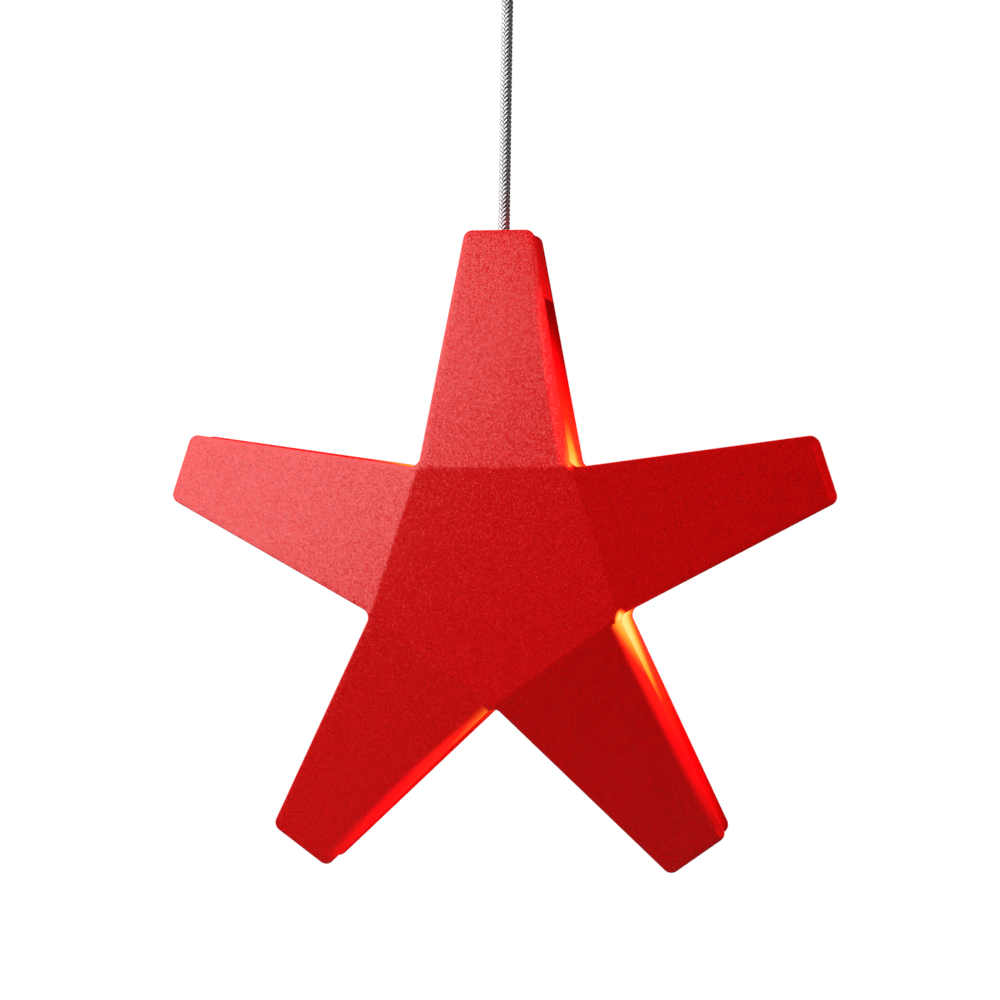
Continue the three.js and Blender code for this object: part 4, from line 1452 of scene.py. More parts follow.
@dataclass(frozen=True)
class Outline:
    """The outline and the depth of a folded plate."""

    arms: int = 5
    notch_radius: float = 85.0
    arm_reach: float = 223.6
    end_width: float = 45.0
    root_depth: float = 74.6
    end_depth: float = 41.0
    sheet: float = 1.2
    roll_width: float = 5.2
    roll_angle: float = 3.0
    end_core: float = 0.8
    fillet: float = 6.0
    fold_soft: float = 1.0  # half the width of a fold
    edge_round: float = 0.35
    rim: float = 0.3  # flat strip inside the rolled margin
    end_steps: int = 10
    arm_rungs: tuple[float, ...] = (213.9, 170.0, 130.0)  # where an arm's mesh is split

    @property
    def step(self) -> float:
        """The angle from arm to arm."""
        return TAU / self.arms

    @property
    def apothem(self) -> float:
        """From the middle to each fold."""
        return self.notch_radius * math.cos(self.step / 2)

    @property
    def root_half(self) -> float:
        """Half the width of an arm at its fold."""
        return self.notch_radius * math.sin(self.step / 2)

    @property
    def taper(self) -> float:
        """The lean of an arm's side."""
        return math.atan2(self.root_half - self.end_width / 2, self.arm_reach - self.apothem)

    @property
    def slope(self) -> float:
        """How far a folded arm falls back along its length."""
        return (self.root_depth - self.end_depth) / 2 / (self.arm_reach - self.apothem)

    @property
    def opening(self) -> float:
        """Half the angle that a notch opens by."""
        return self.step / 2 + self.taper

    @property
    def fillet_away(self) -> float:
        """From the star's middle to the middle of a notch's fillet."""
        return self.notch_radius + self.fillet / math.sin(self.opening)

    def half_width(self, along: float, inset: float) -> float:
        """Half an arm's width at a distance along it, with the outline drawn in."""
        lean = (along - self.apothem) * math.sin(self.taper)
        return self.root_half - (inset + lean) / math.cos(self.taper)

    def on_arm(self, arm: float, along: float, across: float) -> Place:
        """An arm's own (along, across) as the star's (x, z)."""
        sin, cos = math.sin(arm * self.step), math.cos(arm * self.step)
        return along * sin + across * cos, along * cos - across * sin

    def along_arms(self, x: float, z: float) -> float:
        """How far a place on the star lies along the arm that it is nearest to."""
        turns = [arm * self.step for arm in range(self.arms)]
        return max(x * math.sin(turn) + z * math.cos(turn) for turn in turns)

    def arm_line(self, arm: float, inset: float) -> list[Place]:
        """An arm's outline between its notches: up its left side, round its end and down again.

        Args:
            arm: The arm's number.
            inset: How far the outline is drawn in.

        Returns:
            The points.
        """
        corner = self.end_core + self.roll_width
        middle = self.arm_reach - corner
        end = (middle, self.half_width(middle, corner))
        right = arc(end, corner - inset, 0, TAU / 4 - self.taper, self.end_steps)
        right += [(along, self.half_width(along, inset)) for along in self.arm_rungs]
        left = [(along, -out) for along, out in reversed(right)]
        return [self.on_arm(arm, along, out) for along, out in left + right]

    @property
    def notch_turns(self) -> list[float]:
        """Where the points of a notch's fillet lie, from its middle to the end on one side."""
        radius = self.fillet + self.roll_width + self.rim
        turns = [0.0]
        for share in (-1.0, -0.6, -0.2, 0.2, 0.6, 1.0):
            reach = self.fillet_away * math.cos(self.step / 2)
            reach -= self.apothem + share * self.fold_soft
            turns.append(math.acos(reach / radius) - self.step / 2)
        start, end = turns[-1], TAU / 4 - self.opening
        return turns + [start + (end - start) * i / 6 for i in range(1, 7)]

    def notch_arc(self, arm: float, inset: float) -> list[Place]:
        """The fillet between an arm and the next one."""
        turns, radius = self.notch_turns, self.fillet + inset
        return [
            self.on_arm(arm + 0.5, self.fillet_away - radius * math.cos(t), radius * math.sin(t))
            for t in [-t for t in reversed(turns[1:])] + turns
        ]

    def ring(self, inset: float) -> list[Place]:
        """The whole outline, drawn in by a distance."""
        points = []
        for arm in range(self.arms):
            points += self.arm_line(arm, inset) + self.notch_arc(arm, inset)
        return points

    def fold_drop(self, x: float, z: float) -> float:
        """How far a folded arm falls back from the flat middle."""
        soft = self.fold_soft
        past = self.along_arms(x, z) - self.apothem
        eased = past if past > soft else max(0.0, past + soft) ** 2 / (4 * soft)
        return eased * self.slope

    def roll_drop(self, inset: float) -> float:
        """How far the rolled margin falls back at a distance from the edge."""
        radius = self.roll_width / math.sin(math.radians(self.roll_angle))
        reach = max(0.0, self.roll_width - inset)
        return radius - math.sqrt(radius**2 - reach**2)

    def inner_half(self, x: float, z: float, inset: float) -> float:
        """From the star's middle plane to a plate's inner face."""
        return self.root_depth / 2 - self.sheet - self.fold_drop(x, z) - self.roll_drop(inset)


@dataclass(frozen=True)
class Plates:
    """The two plates, the strap in the top arm, and what joins them."""

    outline: Outline = field(default_factory=Outline)
    middle: float = -462.0
    post_radius: float = 4.0
    strap_sheet: float = 1.5
    strap_inset: float = 0.6
    strap_leg: float = 44.0
    tab_height: float = 14.0
    tab_side: float = 8.5
    tab_corner: float = 3.0
    gap: float = 0.3
    # From here on: the lamp light, spill and shadows that are painted into the coat's emission.
    fade: float = 3.8  # how far the spill reaches past the rolled margin
    shadow_end: float = 174.0  # height of the strap's full shadow
    shadow_length: float = 62.0
    spill_share: float = 0.8  # the spill at an edge, as a share of the full glow
    spill_end: float = 227.0  # where the spill has gone, along an arm
    spill_length: float = 14.0
    spill_shadow: tuple[float, float] = (215.0, 50.0)  # end and length of its shadow at the strap
    end_share: float = 0.68  # the painted spill band at the end of an arm
    notch_share: float = 0.95  # the spill in a notch
    strap_share: float = 0.52  # the lamp's light on the strap's right side
    rim_share: float = 0.3  # the lamp's light on a plate's inner face, at its edge
    facing: Place = (0.35, 0.5)  # the lean to the right where an edge starts to glow, and the rest
    end_facing: Place = (0.6, 0.3)  # the same at the end of an arm
    narrowest: float = 0.2  # the spill's width where it starts to glow, as a share
    notch_gain: float = 1.6  # how soon the spill in a notch is full
    low_share: float = 0.5  # the spill that is left beside the lowest notch
    low_length: float = 90.0  # where it is full again, along an arm
    low_aside: Place = (32.0, 14.0)  # degrees to the end of that notch's shadow, and its softness
    least: Place = (0.3, 0.12)  # the lamp's light in that shadow, and in the strap's

    def rings(self) -> list[Place]:
        """The plate's section at its margin, as (inset, how far in front of the inner face)."""
        o = self.outline
        rolled = [o.roll_width + o.rim]
        rolled += [o.roll_width - (o.roll_width - o.edge_round) * i / 8 for i in range(9)]
        outer, inner = (o.edge_round, o.sheet - o.edge_round), (o.edge_round, o.edge_round)
        edge = arc(outer, o.edge_round, TAU / 4, TAU / 2, 4)[1:]
        edge += arc(inner, o.edge_round, TAU / 2, TAU * 3 / 4, 4)[1:-1]
        front = [(inset, o.sheet) for inset in rolled]
        return front + edge + [(inset, 0.0) for inset in reversed(rolled)]

    def inner_glow(self, x: float, z: float, inset: float) -> float:
        """How much painted lamp light a place on a plate's inner face gets.

        Args:
            x: Across the star.
            z: Up the star.
            inset: From the plate's edge.

        Returns:
            A share of the full painted glow; it is lower at most edges, and in the strap's painted
            shadow.
        """
        inwards = clamped(inset / self.outline.roll_width) ** 1.5
        rim = self.rim_share + (1 - self.rim_share) * inwards
        if z < 0:
            # Painted shadow: the bulb's end and the lower posts keep the yellow light off the
            # lowest notch.
            aside = math.degrees(math.atan2(abs(x), -z))
            end, softness = self.low_aside
            return rim * clamped(self.least[0] + (aside - end) / softness, self.least[0])
        if z < abs(x) * 2:
            return 1.0 if x > 0 else rim
        # Painted shadow of the strap in the top arm.
        return rim * clamped((self.shadow_end - z) / self.shadow_length, self.least[1])

    def spill(self, x: float, z: float, inset: float, right: float) -> float:
        """How strongly the lamp's light, painted into the emission, wraps round an edge onto the
        outer face.

        Args:
            x: Across the star.
            z: Up the star.
            inset: From the plate's edge.
            right: How far the edge faces to the right, from -1 to 1.

        Returns:
            A share of the full glow; it narrows and fades along an arm.
        """
        o = self.outline
        reach = o.along_arms(x, z)
        if reach > o.arm_rungs[0] + 1:
            inside = inset <= o.roll_width + TINY
            start, rest = self.end_facing
            return self.end_share * inside * clamped((right - start) / rest)
        start, rest = self.facing
        facing = clamped((right - start) / rest)
        if reach - o.apothem > 2 * o.fold_soft:
            width = self.narrowest + (1 - self.narrowest) * facing
            width *= o.roll_width + o.rim + self.fade
            strength = self.spill_share * max(0.0, 1 - inset / width)
        else:
            strength = self.notch_share * clamped(self.notch_gain * (1 - inset / o.roll_width))
        strength *= clamped((self.spill_end - reach) / self.spill_length)
        if z < -abs(x):
            # Painted shadow: the bulb's end keeps the yellow light off the lowest notch here too.
            along = max(0.0, reach - o.apothem)
            strength *= min(1.0, self.low_share + along / self.low_length)
        # Painted shadow of the strap on the spill.
        if z > abs(x) * 2:
            end, length = self.spill_shadow
            strength *= clamped((end - z) / length)
        return facing * strength

    def plate(self) -> tuple[Shape, list[float]]:
        """The front plate, measured from the star's middle.

        Returns:
            Its shape, and how much painted lamp light each corner gets.
        """
        o = self.outline
        corners: list[Point] = []
        glow: list[float] = []
        rings = self.rings()
        rights = [a[0] - b[0] for a, b in zip(o.ring(0.0), o.ring(1.0))]
        for inset, ahead in rings:
            for (x, z), right in zip(o.ring(inset), rights):
                corners.append((x, -(o.inner_half(x, z, inset) + ahead), z))
                inside = self.inner_glow(x, z, inset)
                spill = self.spill(x, z, inset, right)
                glow.append(inside + (spill - inside) * clamped(ahead / o.sheet))
        half = len(o.notch_turns)
        per_end = 2 * (o.end_steps + 1 + len(o.arm_rungs))
        per_arm = per_end + 2 * half - 1
        count = per_arm * o.arms
        rows = [range(row * count, (row + 1) * count) for row in range(len(rings))]
        faces = [face for low, high in zip(rows, rows[1:]) for face in band(low, high)]
        # The ladder of each arm runs between points that mirror each other across it, and each
        # of its rungs is split near both ends, where the painted lamp spill fades out.
        for row in (rows[0], rows[-1]):
            centre: list[int] = []
            for arm in range(o.arms):
                first = arm * per_arm
                last = first + per_end + half - 1
                side = [row[i % count] for i in range(first - half + 1, last)]
                rungs = []
                for left, right in zip(side[: len(side) // 2 - 1], reversed(side)):
                    a, b = Vector(corners[left]), Vector(corners[right])
                    share = min(0.4, self.fade / max(TINY, (b - a).length))
                    rungs.append((left, len(corners), len(corners) + 1, right))
                    corners += [tuple(a.lerp(b, share)), tuple(b.lerp(a, share))]
                    glow += [0.0, 0.0] if row is rows[0] else [glow[left], glow[right]]
                for low, high in zip(rungs, rungs[1:]):
                    faces += [(low[k], high[k], high[k + 1], low[k + 1]) for k in range(3)]
                end = len(side) // 2
                faces.append((side[end - 1], side[end], *reversed(rungs[-1])))
                centre += [*rungs[0], row[last % count]]
            faces.append(tuple(centre))
        return Shape(corners, faces), glow

    def drills(self, nodes: Iterable[str], radius: float, low: float) -> list[Shape]:
        """A drill along Y at each of some nodes."""
        spots = [Span.of(node).middle for node in nodes]
        return [drill(radius, low, 60, 32, Way.BACK).moved(at.x, 0, at.z) for at in spots]

    def build_plates(self) -> None:
        """Makes the front plate and the drilled rear plate."""
        shape, glow = self.plate()
        holes = self.drills(REAR_SCREWS, 2.2, 20) + self.drills(STRAP_SCREWS, 1.7, 8)
        corners = [corner for hole in holes for corner in hole.corners]
        faces = []
        for number, hole in enumerate(holes):
            start = number * len(hole.corners)
            faces += [tuple(i + start for i in face) for face in hole.faces]
        for name, turn, tools in (
            ("front_plate", 1, []),
            ("rear_plate", -1, [Shape(corners, faces)]),
        ):
            turned = Shape([(x * turn, y * turn, z) for x, y, z in shape.corners], shape.faces)
            obj = raw(name, turned.moved(z=self.middle))
            paint_lamp_light(obj, glow)
            machine(obj, Cut.OFF, *tools)
            finished(obj, Body.STAR, RED, sharp=50)

    def strap_band(self) -> Shape:
        """The band that follows the outline of the top arm's end."""
        o = self.outline
        low = o.arm_reach - self.strap_leg
        skip = len(o.arm_rungs) - 1
        lines = []
        for inset in (self.strap_inset, self.strap_inset + self.strap_sheet):
            half = o.half_width(low, inset)
            line = [(-half, low), *o.arm_line(0, inset)[skip:-skip], (half, low)]
            for side in (-1, 1):
                halves = [side * (o.inner_half(x, z, inset) - self.gap) for x, z in line]
                lines.append([(x, y, z) for (x, z), y in zip(line, halves)])
        outer_front, outer_rear, inner_front, inner_rear = lines
        return banded(list(zip(outer_front, outer_rear, inner_rear, inner_front)))

    def strap_tab(self, side: int) -> Shape:
        """One of the strap's tabs, with its lower corners rounded.

        Args:
            side: Front, -1, or rear, 1.

        Returns:
            The closed tab.
        """
        o = self.outline
        half = o.end_width / 2 - self.tab_side
        top = o.arm_reach - self.strap_inset - self.strap_sheet / 2
        low = o.arm_reach - self.tab_height
        corner = (half - self.tab_corner, low + self.tab_corner)
        right = arc(corner, self.tab_corner, 0, -TAU / 4, 6)
        left = [(-x, z) for x, z in reversed(right)]
        outline = [(-half, top), (half, top), *right, *left]
        seat = o.roll_drop(self.strap_inset + self.strap_sheet / 2) + self.gap
        rings = []
        for depth in (seat, seat + self.strap_sheet):
            halves = [side * (o.inner_half(0, z, o.roll_width) - depth) for _, z in outline]
            rings.append([(x, y, z) for (x, z), y in zip(outline, halves)])
        return banded(rings)

    def build_strap(self) -> None:
        """Makes the strap with its tabs, its web hole and its screw holes."""
        obj = raw("top_strap", self.strap_band().moved(z=self.middle))
        machine(obj, Cut.ON, *(self.strap_tab(s).moved(z=self.middle) for s in (-1, 1)))
        top = self.outline.arm_reach + self.middle
        machine(obj, Cut.OFF, drill(5.75, top - 6, top + 2, 48))
        machine(obj, Cut.OFF, *self.drills(STRAP_SCREWS, 1.7, 8))
        bevelled(obj, 0.22)
        # Painted lamp light on the strap's faces that look to the right.
        facing = [max(0.0, corner.normal.x) for corner in obj.data.vertices]
        paint_lamp_light(obj, [self.strap_share * share for share in facing])
        finished(obj, Body.STAR, RED)

    def build_posts(self) -> None:
        """Makes the posts, each with a foot and a chamfered free end."""
        for arm in (1, 2, 3, 4):
            span = Span.of(f"post_{arm}")
            low, high, foot = span.low.y, span.high.y, span.size.x / 2
            ledge, bore = low + 1.5, 2.2
            profile = [(0, low), (foot, low), (foot, ledge), (self.post_radius, ledge)]
            profile += [(self.post_radius, high), (bore, high), (bore, high - 12), (0, high - 12.8)]
            shape = lathe(softened(profile, 0.35), 48, Way.BACK)
            made(f"post_{arm}", shape.moved(span.middle.x, 0, span.middle.z), Body.STAR, ZINC)

    def build(self, screws: NodeTreePiece) -> None:
        """Makes all of the sub-assembly.

        Args:
            screws: The screw maker.
        """
        self.build_plates()
        self.build_strap()
        self.build_posts()
        for name, nodes, head, height, shank, length, pitch in (
            ("rear_screws", REAR_SCREWS, 3.8, 2.2, 1.9, 10.0, 0.7),
            ("strap_screws", STRAP_SCREWS, 2.7, 1.6, 1.4, 5.0, 0.5),
        ):
            socket = (head * 0.42, height * 0.62)
            screw = Screw(head, height, height * 0.45, *socket, shank, length, pitch)
            screw.grow(screws, name, nodes, Body.STAR)


# Cord


@dataclass(frozen=True)
class Cord:
    """The braided cord: its free run and the piece inside the ceiling cup."""

    radius: float = 3.9
    swing_height: float = -50.0
    steps: int = 120
    route: tuple[Place, ...] = (  # (aside, down) from the swing's height
        (0, 0.9), (0, 6), (0.4, 12), (1, 19), (1.7, 27), (2.1, 36), (1.95, 46), (1.8, 58),
        (1.65, 72), (1.45, 88), (1.25, 106), (1.05, 124), (0.85, 142), (0.63, 160), (0.42, 176),
        (0.28, 188), (0.1, 195), (0, 203),
    )  # fmt: skip

    def line(self) -> np.ndarray:
        """The free cord's line from its lower end up, in millimetres."""
        points = [(x, 0.0, self.swing_height - down) for x, down in reversed(self.route)]
        return smooth_line(points, self.steps)

    def build(self, braid: NodeTreePiece) -> bpy.types.Object:
        """Makes both pieces.

        Args:
            braid: The braid maker.

        Returns:
            The free cord.
        """
        line = [tuple(point) for point in self.line()]
        free = braid.grow("braided_cord", line, Body.CORD, YARN, ("cord",), {})
        node = "cord_inside_cup"
        ends = [(0.0, 0.0, height) for height in Span.of(node).upright[:2]]
        braid.grow("braided_cord_in_cup", ends, Body.CEILING, YARN, (node,), {})
        return free

    def declare(self) -> None:
        line = self.line() * MM


# What hangs in the star


@dataclass(frozen=True)
class Hanging:
    """The grommet, the grip, the stem tube and their nuts."""

    cord_bore: float = 4.35
    stem_radius: float = 4.9
    stem_wall: float = 1.4
    nut_across: float = 14.0
    gap: float = 0.3

    def build(self, screws: NodeTreePiece) -> None:
        """Makes the sub-assembly.

        Args:
            screws: The screw maker.
        """
        low, high, rim = Span.of("cord_grommet").upright
        neck, ledge = 5.45, high - 0.8
        profile = [(self.cord_bore, low), (neck, low), (neck, ledge), (rim, ledge), (rim, high)]
        profile.append((self.cord_bore, high))
        made("cord_grommet", lathe(softened(profile, 0.5, 4), 72), Body.STAR, BLACK)

        low, high, rim = Span.of("cord_grip").upright
        top = Span.of("stem_tube").high.z + self.gap
        bore, neck, ledge = self.stem_radius + self.gap, 7.4, high - 2.5
        profile = [(self.cord_bore, high), (rim, high), (rim, ledge), (neck, ledge), (neck, low)]
        profile += [(bore, low), (bore, top), (self.cord_bore, top)]
        grip = raw("cord_grip", lathe(softened(profile, 0.4), 72))
        hole = drill(2.3, 3, 9, 32, Way.BACK)
        machine(grip, Cut.OFF, hole.moved(z=Span.of("grip_screw").middle.z))
        finished(grip, Body.STAR, WHITE)
        set_screw(screws, "grip_screw", Body.STAR, WHITE, 2.0)

        low, high, _ = Span.of("stem_tube").upright
        inner = self.stem_radius - self.stem_wall
        tube = threaded(self.stem_radius, 0.28, 1.0, inner, low, high)
        made("stem_tube", tube, Body.STAR, BRASS)
        for name in ("grip_nut", "holder_nut"):
            nut = raw(name, hex_nut(self.nut_across, bore, *Span.of(name).upright[:2]))
            bevelled(nut, 0.35, 2, 25)
            finished(nut, Body.STAR, ZINC)


@dataclass(frozen=True)
class Holder:
    """The lamp holder with its ceramic insert, contacts, terminals and cores."""

    wall: float = 1.6
    shell: float = 7.65  # radius over the thread
    shell_wall: float = 0.42
    flange: float = 0.5
    core_radius: float = 1.1
    core_aside: float = 1.45

    def build(self, screws: NodeTreePiece) -> None:
        """Makes the sub-assembly with the screw maker."""
        self.shells()
        self.inside()
        self.cores()
        self.terminals(screws)

    def shells(self) -> None:
        """Makes the body and the cap."""
        low, high, radius = Span.of("holder_body").upright
        bore, shelf = radius - self.wall, Span.of("screw_shell").high.z
        profile = [(bore, low), (radius - 0.5, low), (radius, low + 0.8)]
        for i in range(8):
            groove, at = radius - 0.45, low + 4 + i * 2.2
            profile += [(radius, at), (groove, at + 0.35), (groove, at + 1.0), (radius, at + 1.35)]
        profile += [(radius, high), (bore, high), (bore, shelf)]
        profile += [(10.5, shelf), (10.5, shelf - 2), (bore, shelf - 2)]
        made("holder_body", lathe(softened(profile, 0.18, 2), 96), Body.STAR, BLACK)

        low, high, radius = Span.of("holder_cap").upright
        neck, bore, inner = 6.8, 5.2, radius - self.wall
        profile = [(inner, low), (radius, low), (radius, low + 6), (radius - 0.7, low + 8.6)]
        profile += [(11.5, low + 14), (9.6, high - 8.2), (neck + 0.5, high - 6.5)]
        profile += [(neck, high - 5.2), (neck, high), (bore, high), (bore, high - 8.1)]
        profile += [(9.9, low + 12.4), (inner, low + 6)]
        made("holder_cap", lathe(softened(profile, 0.6, 4), 96), Body.STAR, BLACK)

    def inside(self) -> None:
        """Makes the insert, the screw shell and the centre contact."""
        low, high, radius = Span.of("holder_insert").upright
        tip_low, tip_high, tip = Span.of("centre_contact").upright
        bore, end = 1.6, tip_high + 0.3
        profile = [(bore, low), (radius, low), (radius, high), (0, high), (0, end), (bore, end)]
        made("holder_insert", lathe(softened(profile, 0.5), 72), Body.STAR, CERAMIC)

        low, high, radius = Span.of("screw_shell").upright
        under, bore = high - self.flange, self.shell - self.shell_wall
        shell = raw("screw_shell", threaded(self.shell, 0.3, 2.82, bore, low, under, 64))
        machine(shell, Cut.ON, lathe(sleeve(7.25, radius, under - 0.01, high), 64))
        finished(shell, Body.STAR, BRASS)

        ledge, shank = tip_low + 0.8, 1.3
        profile = [(0, tip_low), (tip, tip_low), (tip, ledge), (shank, ledge)]
        profile += [(shank, tip_high), (0, tip_high)]
        made("centre_contact", lathe(softened(profile, 0.25), 40), Body.STAR, BRASS)

    def cores(self) -> None:
        """Makes the insulated cores from the stem tube to the terminals."""
        stem = Span.of("stem_tube").low.z
        for name, side, finish in (("live", -1, BROWN), ("neutral", 1, BLUE)):
            low, high, _ = Span.of(f"{name}_core").upright
            terminal = Span.of(f"{name}_terminal")
            near, far, end = side * self.core_aside, terminal.middle.x, terminal.high.z
            route = [(near, high), (near, (high + stem) / 2), (near, stem + 2.9), (near, stem)]
            route += [((near + far) / 2, (stem + end) / 2), (far, end + (stem - end) / 4)]
            points = [(x, 0, z) for x, z in (*route, (far, low))]
            made(f"{name}_core", sweep(points, self.core_radius, 90), Body.STAR, finish)

    def terminals(self, screws: NodeTreePiece) -> None:
        """Makes the terminals and their screws.

        Args:
            screws: The screw maker.
        """
        for name in ("live_terminal", "neutral_terminal"):
            span = Span.of(name)
            obj = raw(name, block(span.low, span.high))
            x, high = span.middle.x, span.high.z
            bevelled(obj, 0.35, 2)
            port = drill(1.4, high - 4.3, high + 1).moved(x=x)
            hole = drill(1.5, 0, 6, 24, Way.BACK).moved(x, 0, high - 2.15)
            machine(obj, Cut.OFF, port, hole)
            finished(obj, Body.STAR, BRASS)
        nodes = ("live_terminal_screw", "neutral_terminal_screw")
        screw = Screw(2.2, 1.4, 0.5, 0.9, 0.8, 1.2, Span.of(nodes[0]).size.y - 1.4)
        screw.grow(screws, "terminal_screws", nodes, Body.STAR)


def drawn_line(line: Sequence[Place], inner: Sequence[Place]) -> list[Place]:
    """The closed profile between an outer line and an inner one."""
    return [*line, *reversed(inner)]


@dataclass(frozen=True)
class Bulb:
    """The lit bulb."""

    globe_wall: float = 0.8
    neck_radius: float = 8.4
    mouth_radius: float = 5.2
    globe_steps: int = 28
    wire: float = 0.4
    light: float = 4.2  # watts
    light_colour: Colour = (1.0, 0.62, 0.3)
    light_radius: float = 18.0
    filament: tuple[Place, ...] = (
        (-1, 0.9), (-0.75, 1), (-0.5, 0.3), (-0.25, 0), (0, 0), (0.25, 0), (0.5, 0.3), (0.75, 1),
        (1, 0.9),
    )  # fmt: skip

    def build(self) -> None:
        """Makes the bulb's pieces and the light inside its globe."""
        low, high, radius = Span.of("bulb_tip_contact").upright
        tip = lathe(softened(rod(radius, low, high), 0.5, 4), 40)
        made("bulb_tip_contact", tip, Body.BULB, NICKEL)
        low, high, radius = Span.of("bulb_insulator").upright
        profile = [(0, low), (radius, low), (radius - 0.4, low + 0.9), (3.4, high), (0, high)]
        made("bulb_insulator", lathe(softened(profile, 0.3), 56), Body.BULB, BLACK)
        low, high, radius = Span.of("bulb_cap").upright
        made("bulb_cap", threaded(radius, 0.45, 2.82, 5.5, low, high, 64), Body.BULB, NICKEL)
        self.globe()
        low, high, _ = Span.of("bulb_stem").upright
        profile = [(0, low), (1.4, low + 0.4), (2.4, low + 2.4), (2.4, high - 11)]
        profile += [(3.9, high - 0.6), (3.9, high), (0, high)]
        made("bulb_stem", lathe(softened(profile, 0.8, 4), 40), Body.BULB, STEM_GLASS)
        span, inset = Span.of("bulb_filament"), self.wire + 0.05
        reach, drop = span.size.x / 2 - inset, span.size.z - 2 * inset
        top = span.high.z - inset
        route = [(across * reach, 0.0, top - down * drop) for across, down in self.filament]
        made("bulb_filament", sweep(route, self.wire, 64, 10), Body.BULB, TUNGSTEN)

    def globe_line(self, wall: float) -> list[Place]:
        """The globe's outline.

        Args:
            wall: How far it is drawn in.

        Returns:
            Its points, from the mouth to the lower pole.
        """
        _, mouth, radius = Span.of("bulb_globe").upright
        low, neck = Span.of("bulb_cap").low.z - 0.3, self.neck_radius - wall
        bore, join = self.mouth_radius - wall, math.asin(self.neck_radius / radius)
        middle = (0.0, self.globe_middle)
        ball = arc(middle, radius - wall, TAU / 4 - join, -TAU / 4, self.globe_steps)
        pole = (0.0, ball[-1][1])
        return [(bore, mouth), (bore, low), (neck, low - wall - 0.6), *ball[:-1], pole]

    @property
    def globe_middle(self) -> float:
        """The height of the globe's middle."""
        low, _, radius = Span.of("bulb_globe").upright
        return low + radius

    def globe(self) -> None:
        """Makes the globe as a shell that is open at its neck, and the light in it."""
        profile = drawn_line(self.globe_line(0), self.globe_line(self.globe_wall))
        made("bulb_globe", lathe(profile, 72), Body.BULB, OPAL)
        data = bpy.data.lights.new("bulb_light", "POINT")
        data.energy, data.color = self.light, self.light_colour
        data.shadow_soft_size = self.light_radius * MM
        light = linked("bulb_light", data)
        light.location = (0, 0, (self.globe_middle - 2) * MM)
        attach(light, Body.BULB.value)


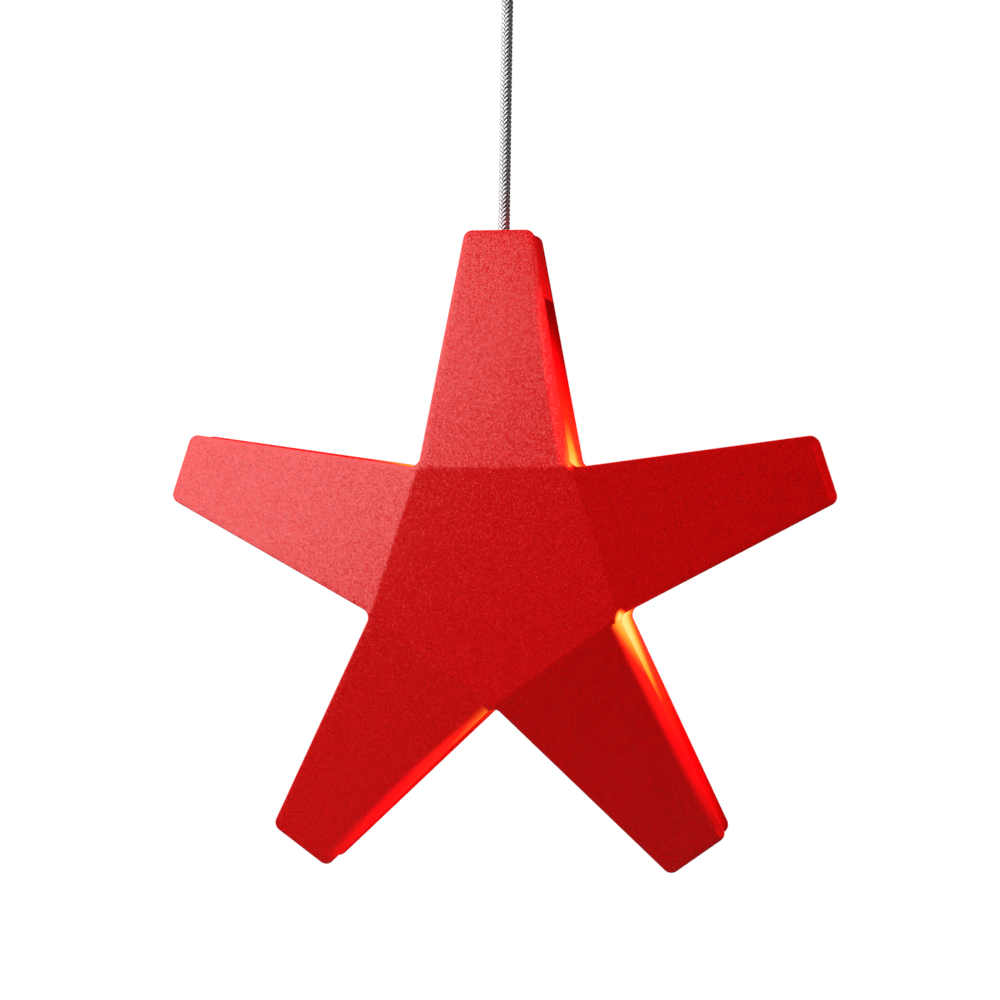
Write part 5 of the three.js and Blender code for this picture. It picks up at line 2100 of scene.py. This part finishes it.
@dataclass(frozen=True)
class CeilingFitting:
    """The plate, hook, hanger, cup, gland and terminal block at the ceiling."""

    cord_bore: float = 4.35
    gland_bore: float = 7.3
    cup_wall: float = 2.0
    cup_corner: float = 12.0
    cup_steps: int = 12
    loop: float = 5.6
    wire: float = 1.75
    window: float = 6.5  # height of the hanger's window over its lower end
    hook_shares: tuple[Place, ...] = (
        (0, 2), (0, 1.55), (0.4, 1.1), (0.86, 0.5), (1, -0.1), (0.7, -0.72), (0, -1), (-0.7, -0.72),
        (-1, 0), (-0.88, 0.45),
    )  # fmt: skip

    def build(self, screws: NodeTreePiece) -> bpy.types.Object:
        """Makes the sub-assembly.

        Args:
            screws: The screw maker.

        Returns:
            The gland, which the free cord ends in.
        """
        self.plate_and_hook()
        self.hanger()
        gland = self.cup(screws)
        self.block(screws)
        self.tails()
        return gland

    def plate_and_hook(self) -> None:
        """Makes the ceiling plate and its hook."""
        low, high, radius = Span.of("ceiling_plate").upright
        plate = raw("ceiling_plate", lathe(softened(rod(radius, low, high), 0.4), 96))
        machine(plate, Cut.OFF, *(drill(2.4, -5, 3, 30).moved(y=y) for y in (-26, 26)))
        finished(plate, Body.CEILING, ZINC)
        top = Span.of("ceiling_hook").high.z
        middle = top - 0.75 - 2 * self.loop
        route = [(a * self.loop, 0.0, middle + up * self.loop) for a, up in self.hook_shares]
        hook = raw("ceiling_hook", lathe(softened(rod(6, top - 1.5, top), 0.3), 48))
        machine(hook, Cut.ON, sweep(route, self.wire, 90, 20))
        finished(hook, Body.CEILING, ZINC)

    def hanger(self) -> None:
        """Makes the cord's hanger: an eye on a bored body with a window for the cores."""
        low = Span.of("cord_hanger").low.z
        top, end, radius, eye, wire = low + 10, low + 8, 7.5, 5.6, 1.4
        profile = [(self.cord_bore, low), (radius, low), (radius, top), (0, top), (0, end)]
        profile.append((self.cord_bore, end))
        obj = raw("cord_hanger", lathe(softened(profile, 0.6), 56))
        section = arc((eye, 0), wire, 0, TAU, 20)[:-1]
        machine(obj, Cut.ON, lathe(section, 56, Way.RIGHT).moved(z=top + eye))
        machine(obj, Cut.OFF, drill(3, 0, 9, 32, Way.RIGHT).moved(z=low + self.window))
        finished(obj, Body.CEILING, WHITE)

    def cup_line(self, wall: float) -> list[Place]:
        """The cup's outline.

        Args:
            wall: How far it is drawn in.

        Returns:
            Its points, from the gland to the rim.
        """
        low, high, radius = Span.of("ceiling_cup").upright
        corner = (radius - self.cup_corner, low + self.cup_corner)
        rounding = arc(corner, self.cup_corner - wall, -TAU / 4, 0, self.cup_steps)
        return [(self.gland_bore, low + wall), *rounding, (radius - wall, high)]

    def cup(self, screws: NodeTreePiece) -> bpy.types.Object:
        """Makes the cup, its gland, nut and set screw.

        Args:
            screws: The screw maker.

        Returns:
            The gland.
        """
        profile = drawn_line(self.cup_line(0), self.cup_line(self.cup_wall))
        made("ceiling_cup", lathe(softened(profile, 0.5), 128), Body.CEILING, WHITE)

        low, high, _ = Span.of("cup_gland").upright
        collar, radius, rim = Span.of("ceiling_cup").low.z - 0.3, 7, 10
        profile = [(self.cord_bore, high), (radius, high), (radius, collar), (rim, collar)]
        profile += [(rim, collar - 6.5), (8.6, low)]
        for i in range(9):
            flare = (self.gland_bore - self.cord_bore) * (1 - i / 8) ** 1.6
            profile.append((self.cord_bore + flare, low + 6 * i / 8))
        gland = raw("cup_gland", lathe(softened(profile, 0.35), 72))
        hole = drill(1.5, 3, 12, 24, Way.BACK)
        machine(gland, Cut.OFF, hole.moved(z=Span.of("gland_screw").middle.z))
        finished(gland, Body.CEILING, WHITE)
        set_screw(screws, "gland_screw", Body.CEILING, ZINC, 1.2)

        low, high, radius = Span.of("gland_nut").upright
        nut = lathe(softened(sleeve(self.gland_bore, radius, low, high), 0.4), 72)
        made("gland_nut", nut, Body.CEILING, WHITE)
        return gland

    def block(self, screws: NodeTreePiece) -> None:
        """Makes the terminal block and its screw.

        Args:
            screws: The screw maker.
        """
        span, screw = Span.of("terminal_block"), Span.of("block_screw")
        obj = raw("terminal_block", block(span.low, span.high))
        bevelled(obj, 0.8, 3)
        port, low, x = span.low.x + 4.5, span.low.z, screw.middle.x
        machine(obj, Cut.OFF, *(drill(1.4, low - 1, low + 4).moved(port, y) for y in (-3, 3)))
        machine(obj, Cut.OFF, drill(1.8, low - 1, span.high.z + 1).moved(x))
        finished(obj, Body.CEILING, WHITE)
        head = 1.6
        length = screw.size.z - head
        sizes = Screw(2.8, head, 0.6, 1.1, 0.9, 1.5, length, turn=(TAU / 2, 0.0, 0.0))
        points = [(x, 0.0, screw.low.z + head)]
        sizes.grow(screws, "block_screw_fine", ("block_screw",), Body.CEILING, ZINC, points)

    def tails(self) -> None:
        """Makes the cores from the hanger's window to the terminal block."""
        block_span = Span.of("terminal_block")
        port, low = block_span.low.x + 4.5, block_span.low.z
        window = Span.of("cord_hanger").low.z + self.window
        rise = window - Span.of("cord_inside_cup").high.z - 0.3
        for name, side, finish in (("live_tail", -1, BROWN), ("neutral_tail", 1, BLUE)):
            near, far = side * 1.45, side * 3.0
            climb = ((0, 0), (0.06, 0.45), (0.45, 0.92), (1.2, 1))
            route = [(a * rise, near, window - rise + up * rise) for a, up in climb]
            route.append((7.5, near, window))
            route.append(((7.5 + port) / 2, (near + far) / 2, window + 2.9))
            route += [(port, far, height) for height in ((window + low) / 2, low - 4, low + 3.7)]
            made(name, sweep(route, 1.1, 90), Body.CEILING, finish)


def main() -> None:
    """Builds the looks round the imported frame, piece by piece."""
    logging.basicConfig(level=logging.INFO, format="%(name)s: %(message)s")
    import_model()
    stage = Stage()
    stage.camera()
    braid, screws = braid_tree(), screw_tree()
    cord = Cord()
    free = cord.build(braid)
    gland = CeilingFitting().build(screws)
    cord.declare()
    Plates().build(screws)
    Hanging().build(screws)
    Holder().build(screws)
    Bulb().build()
    stage.surroundings()
    stage.floor()
    stage.lamps()


if __name__ == "__main__":
    main()
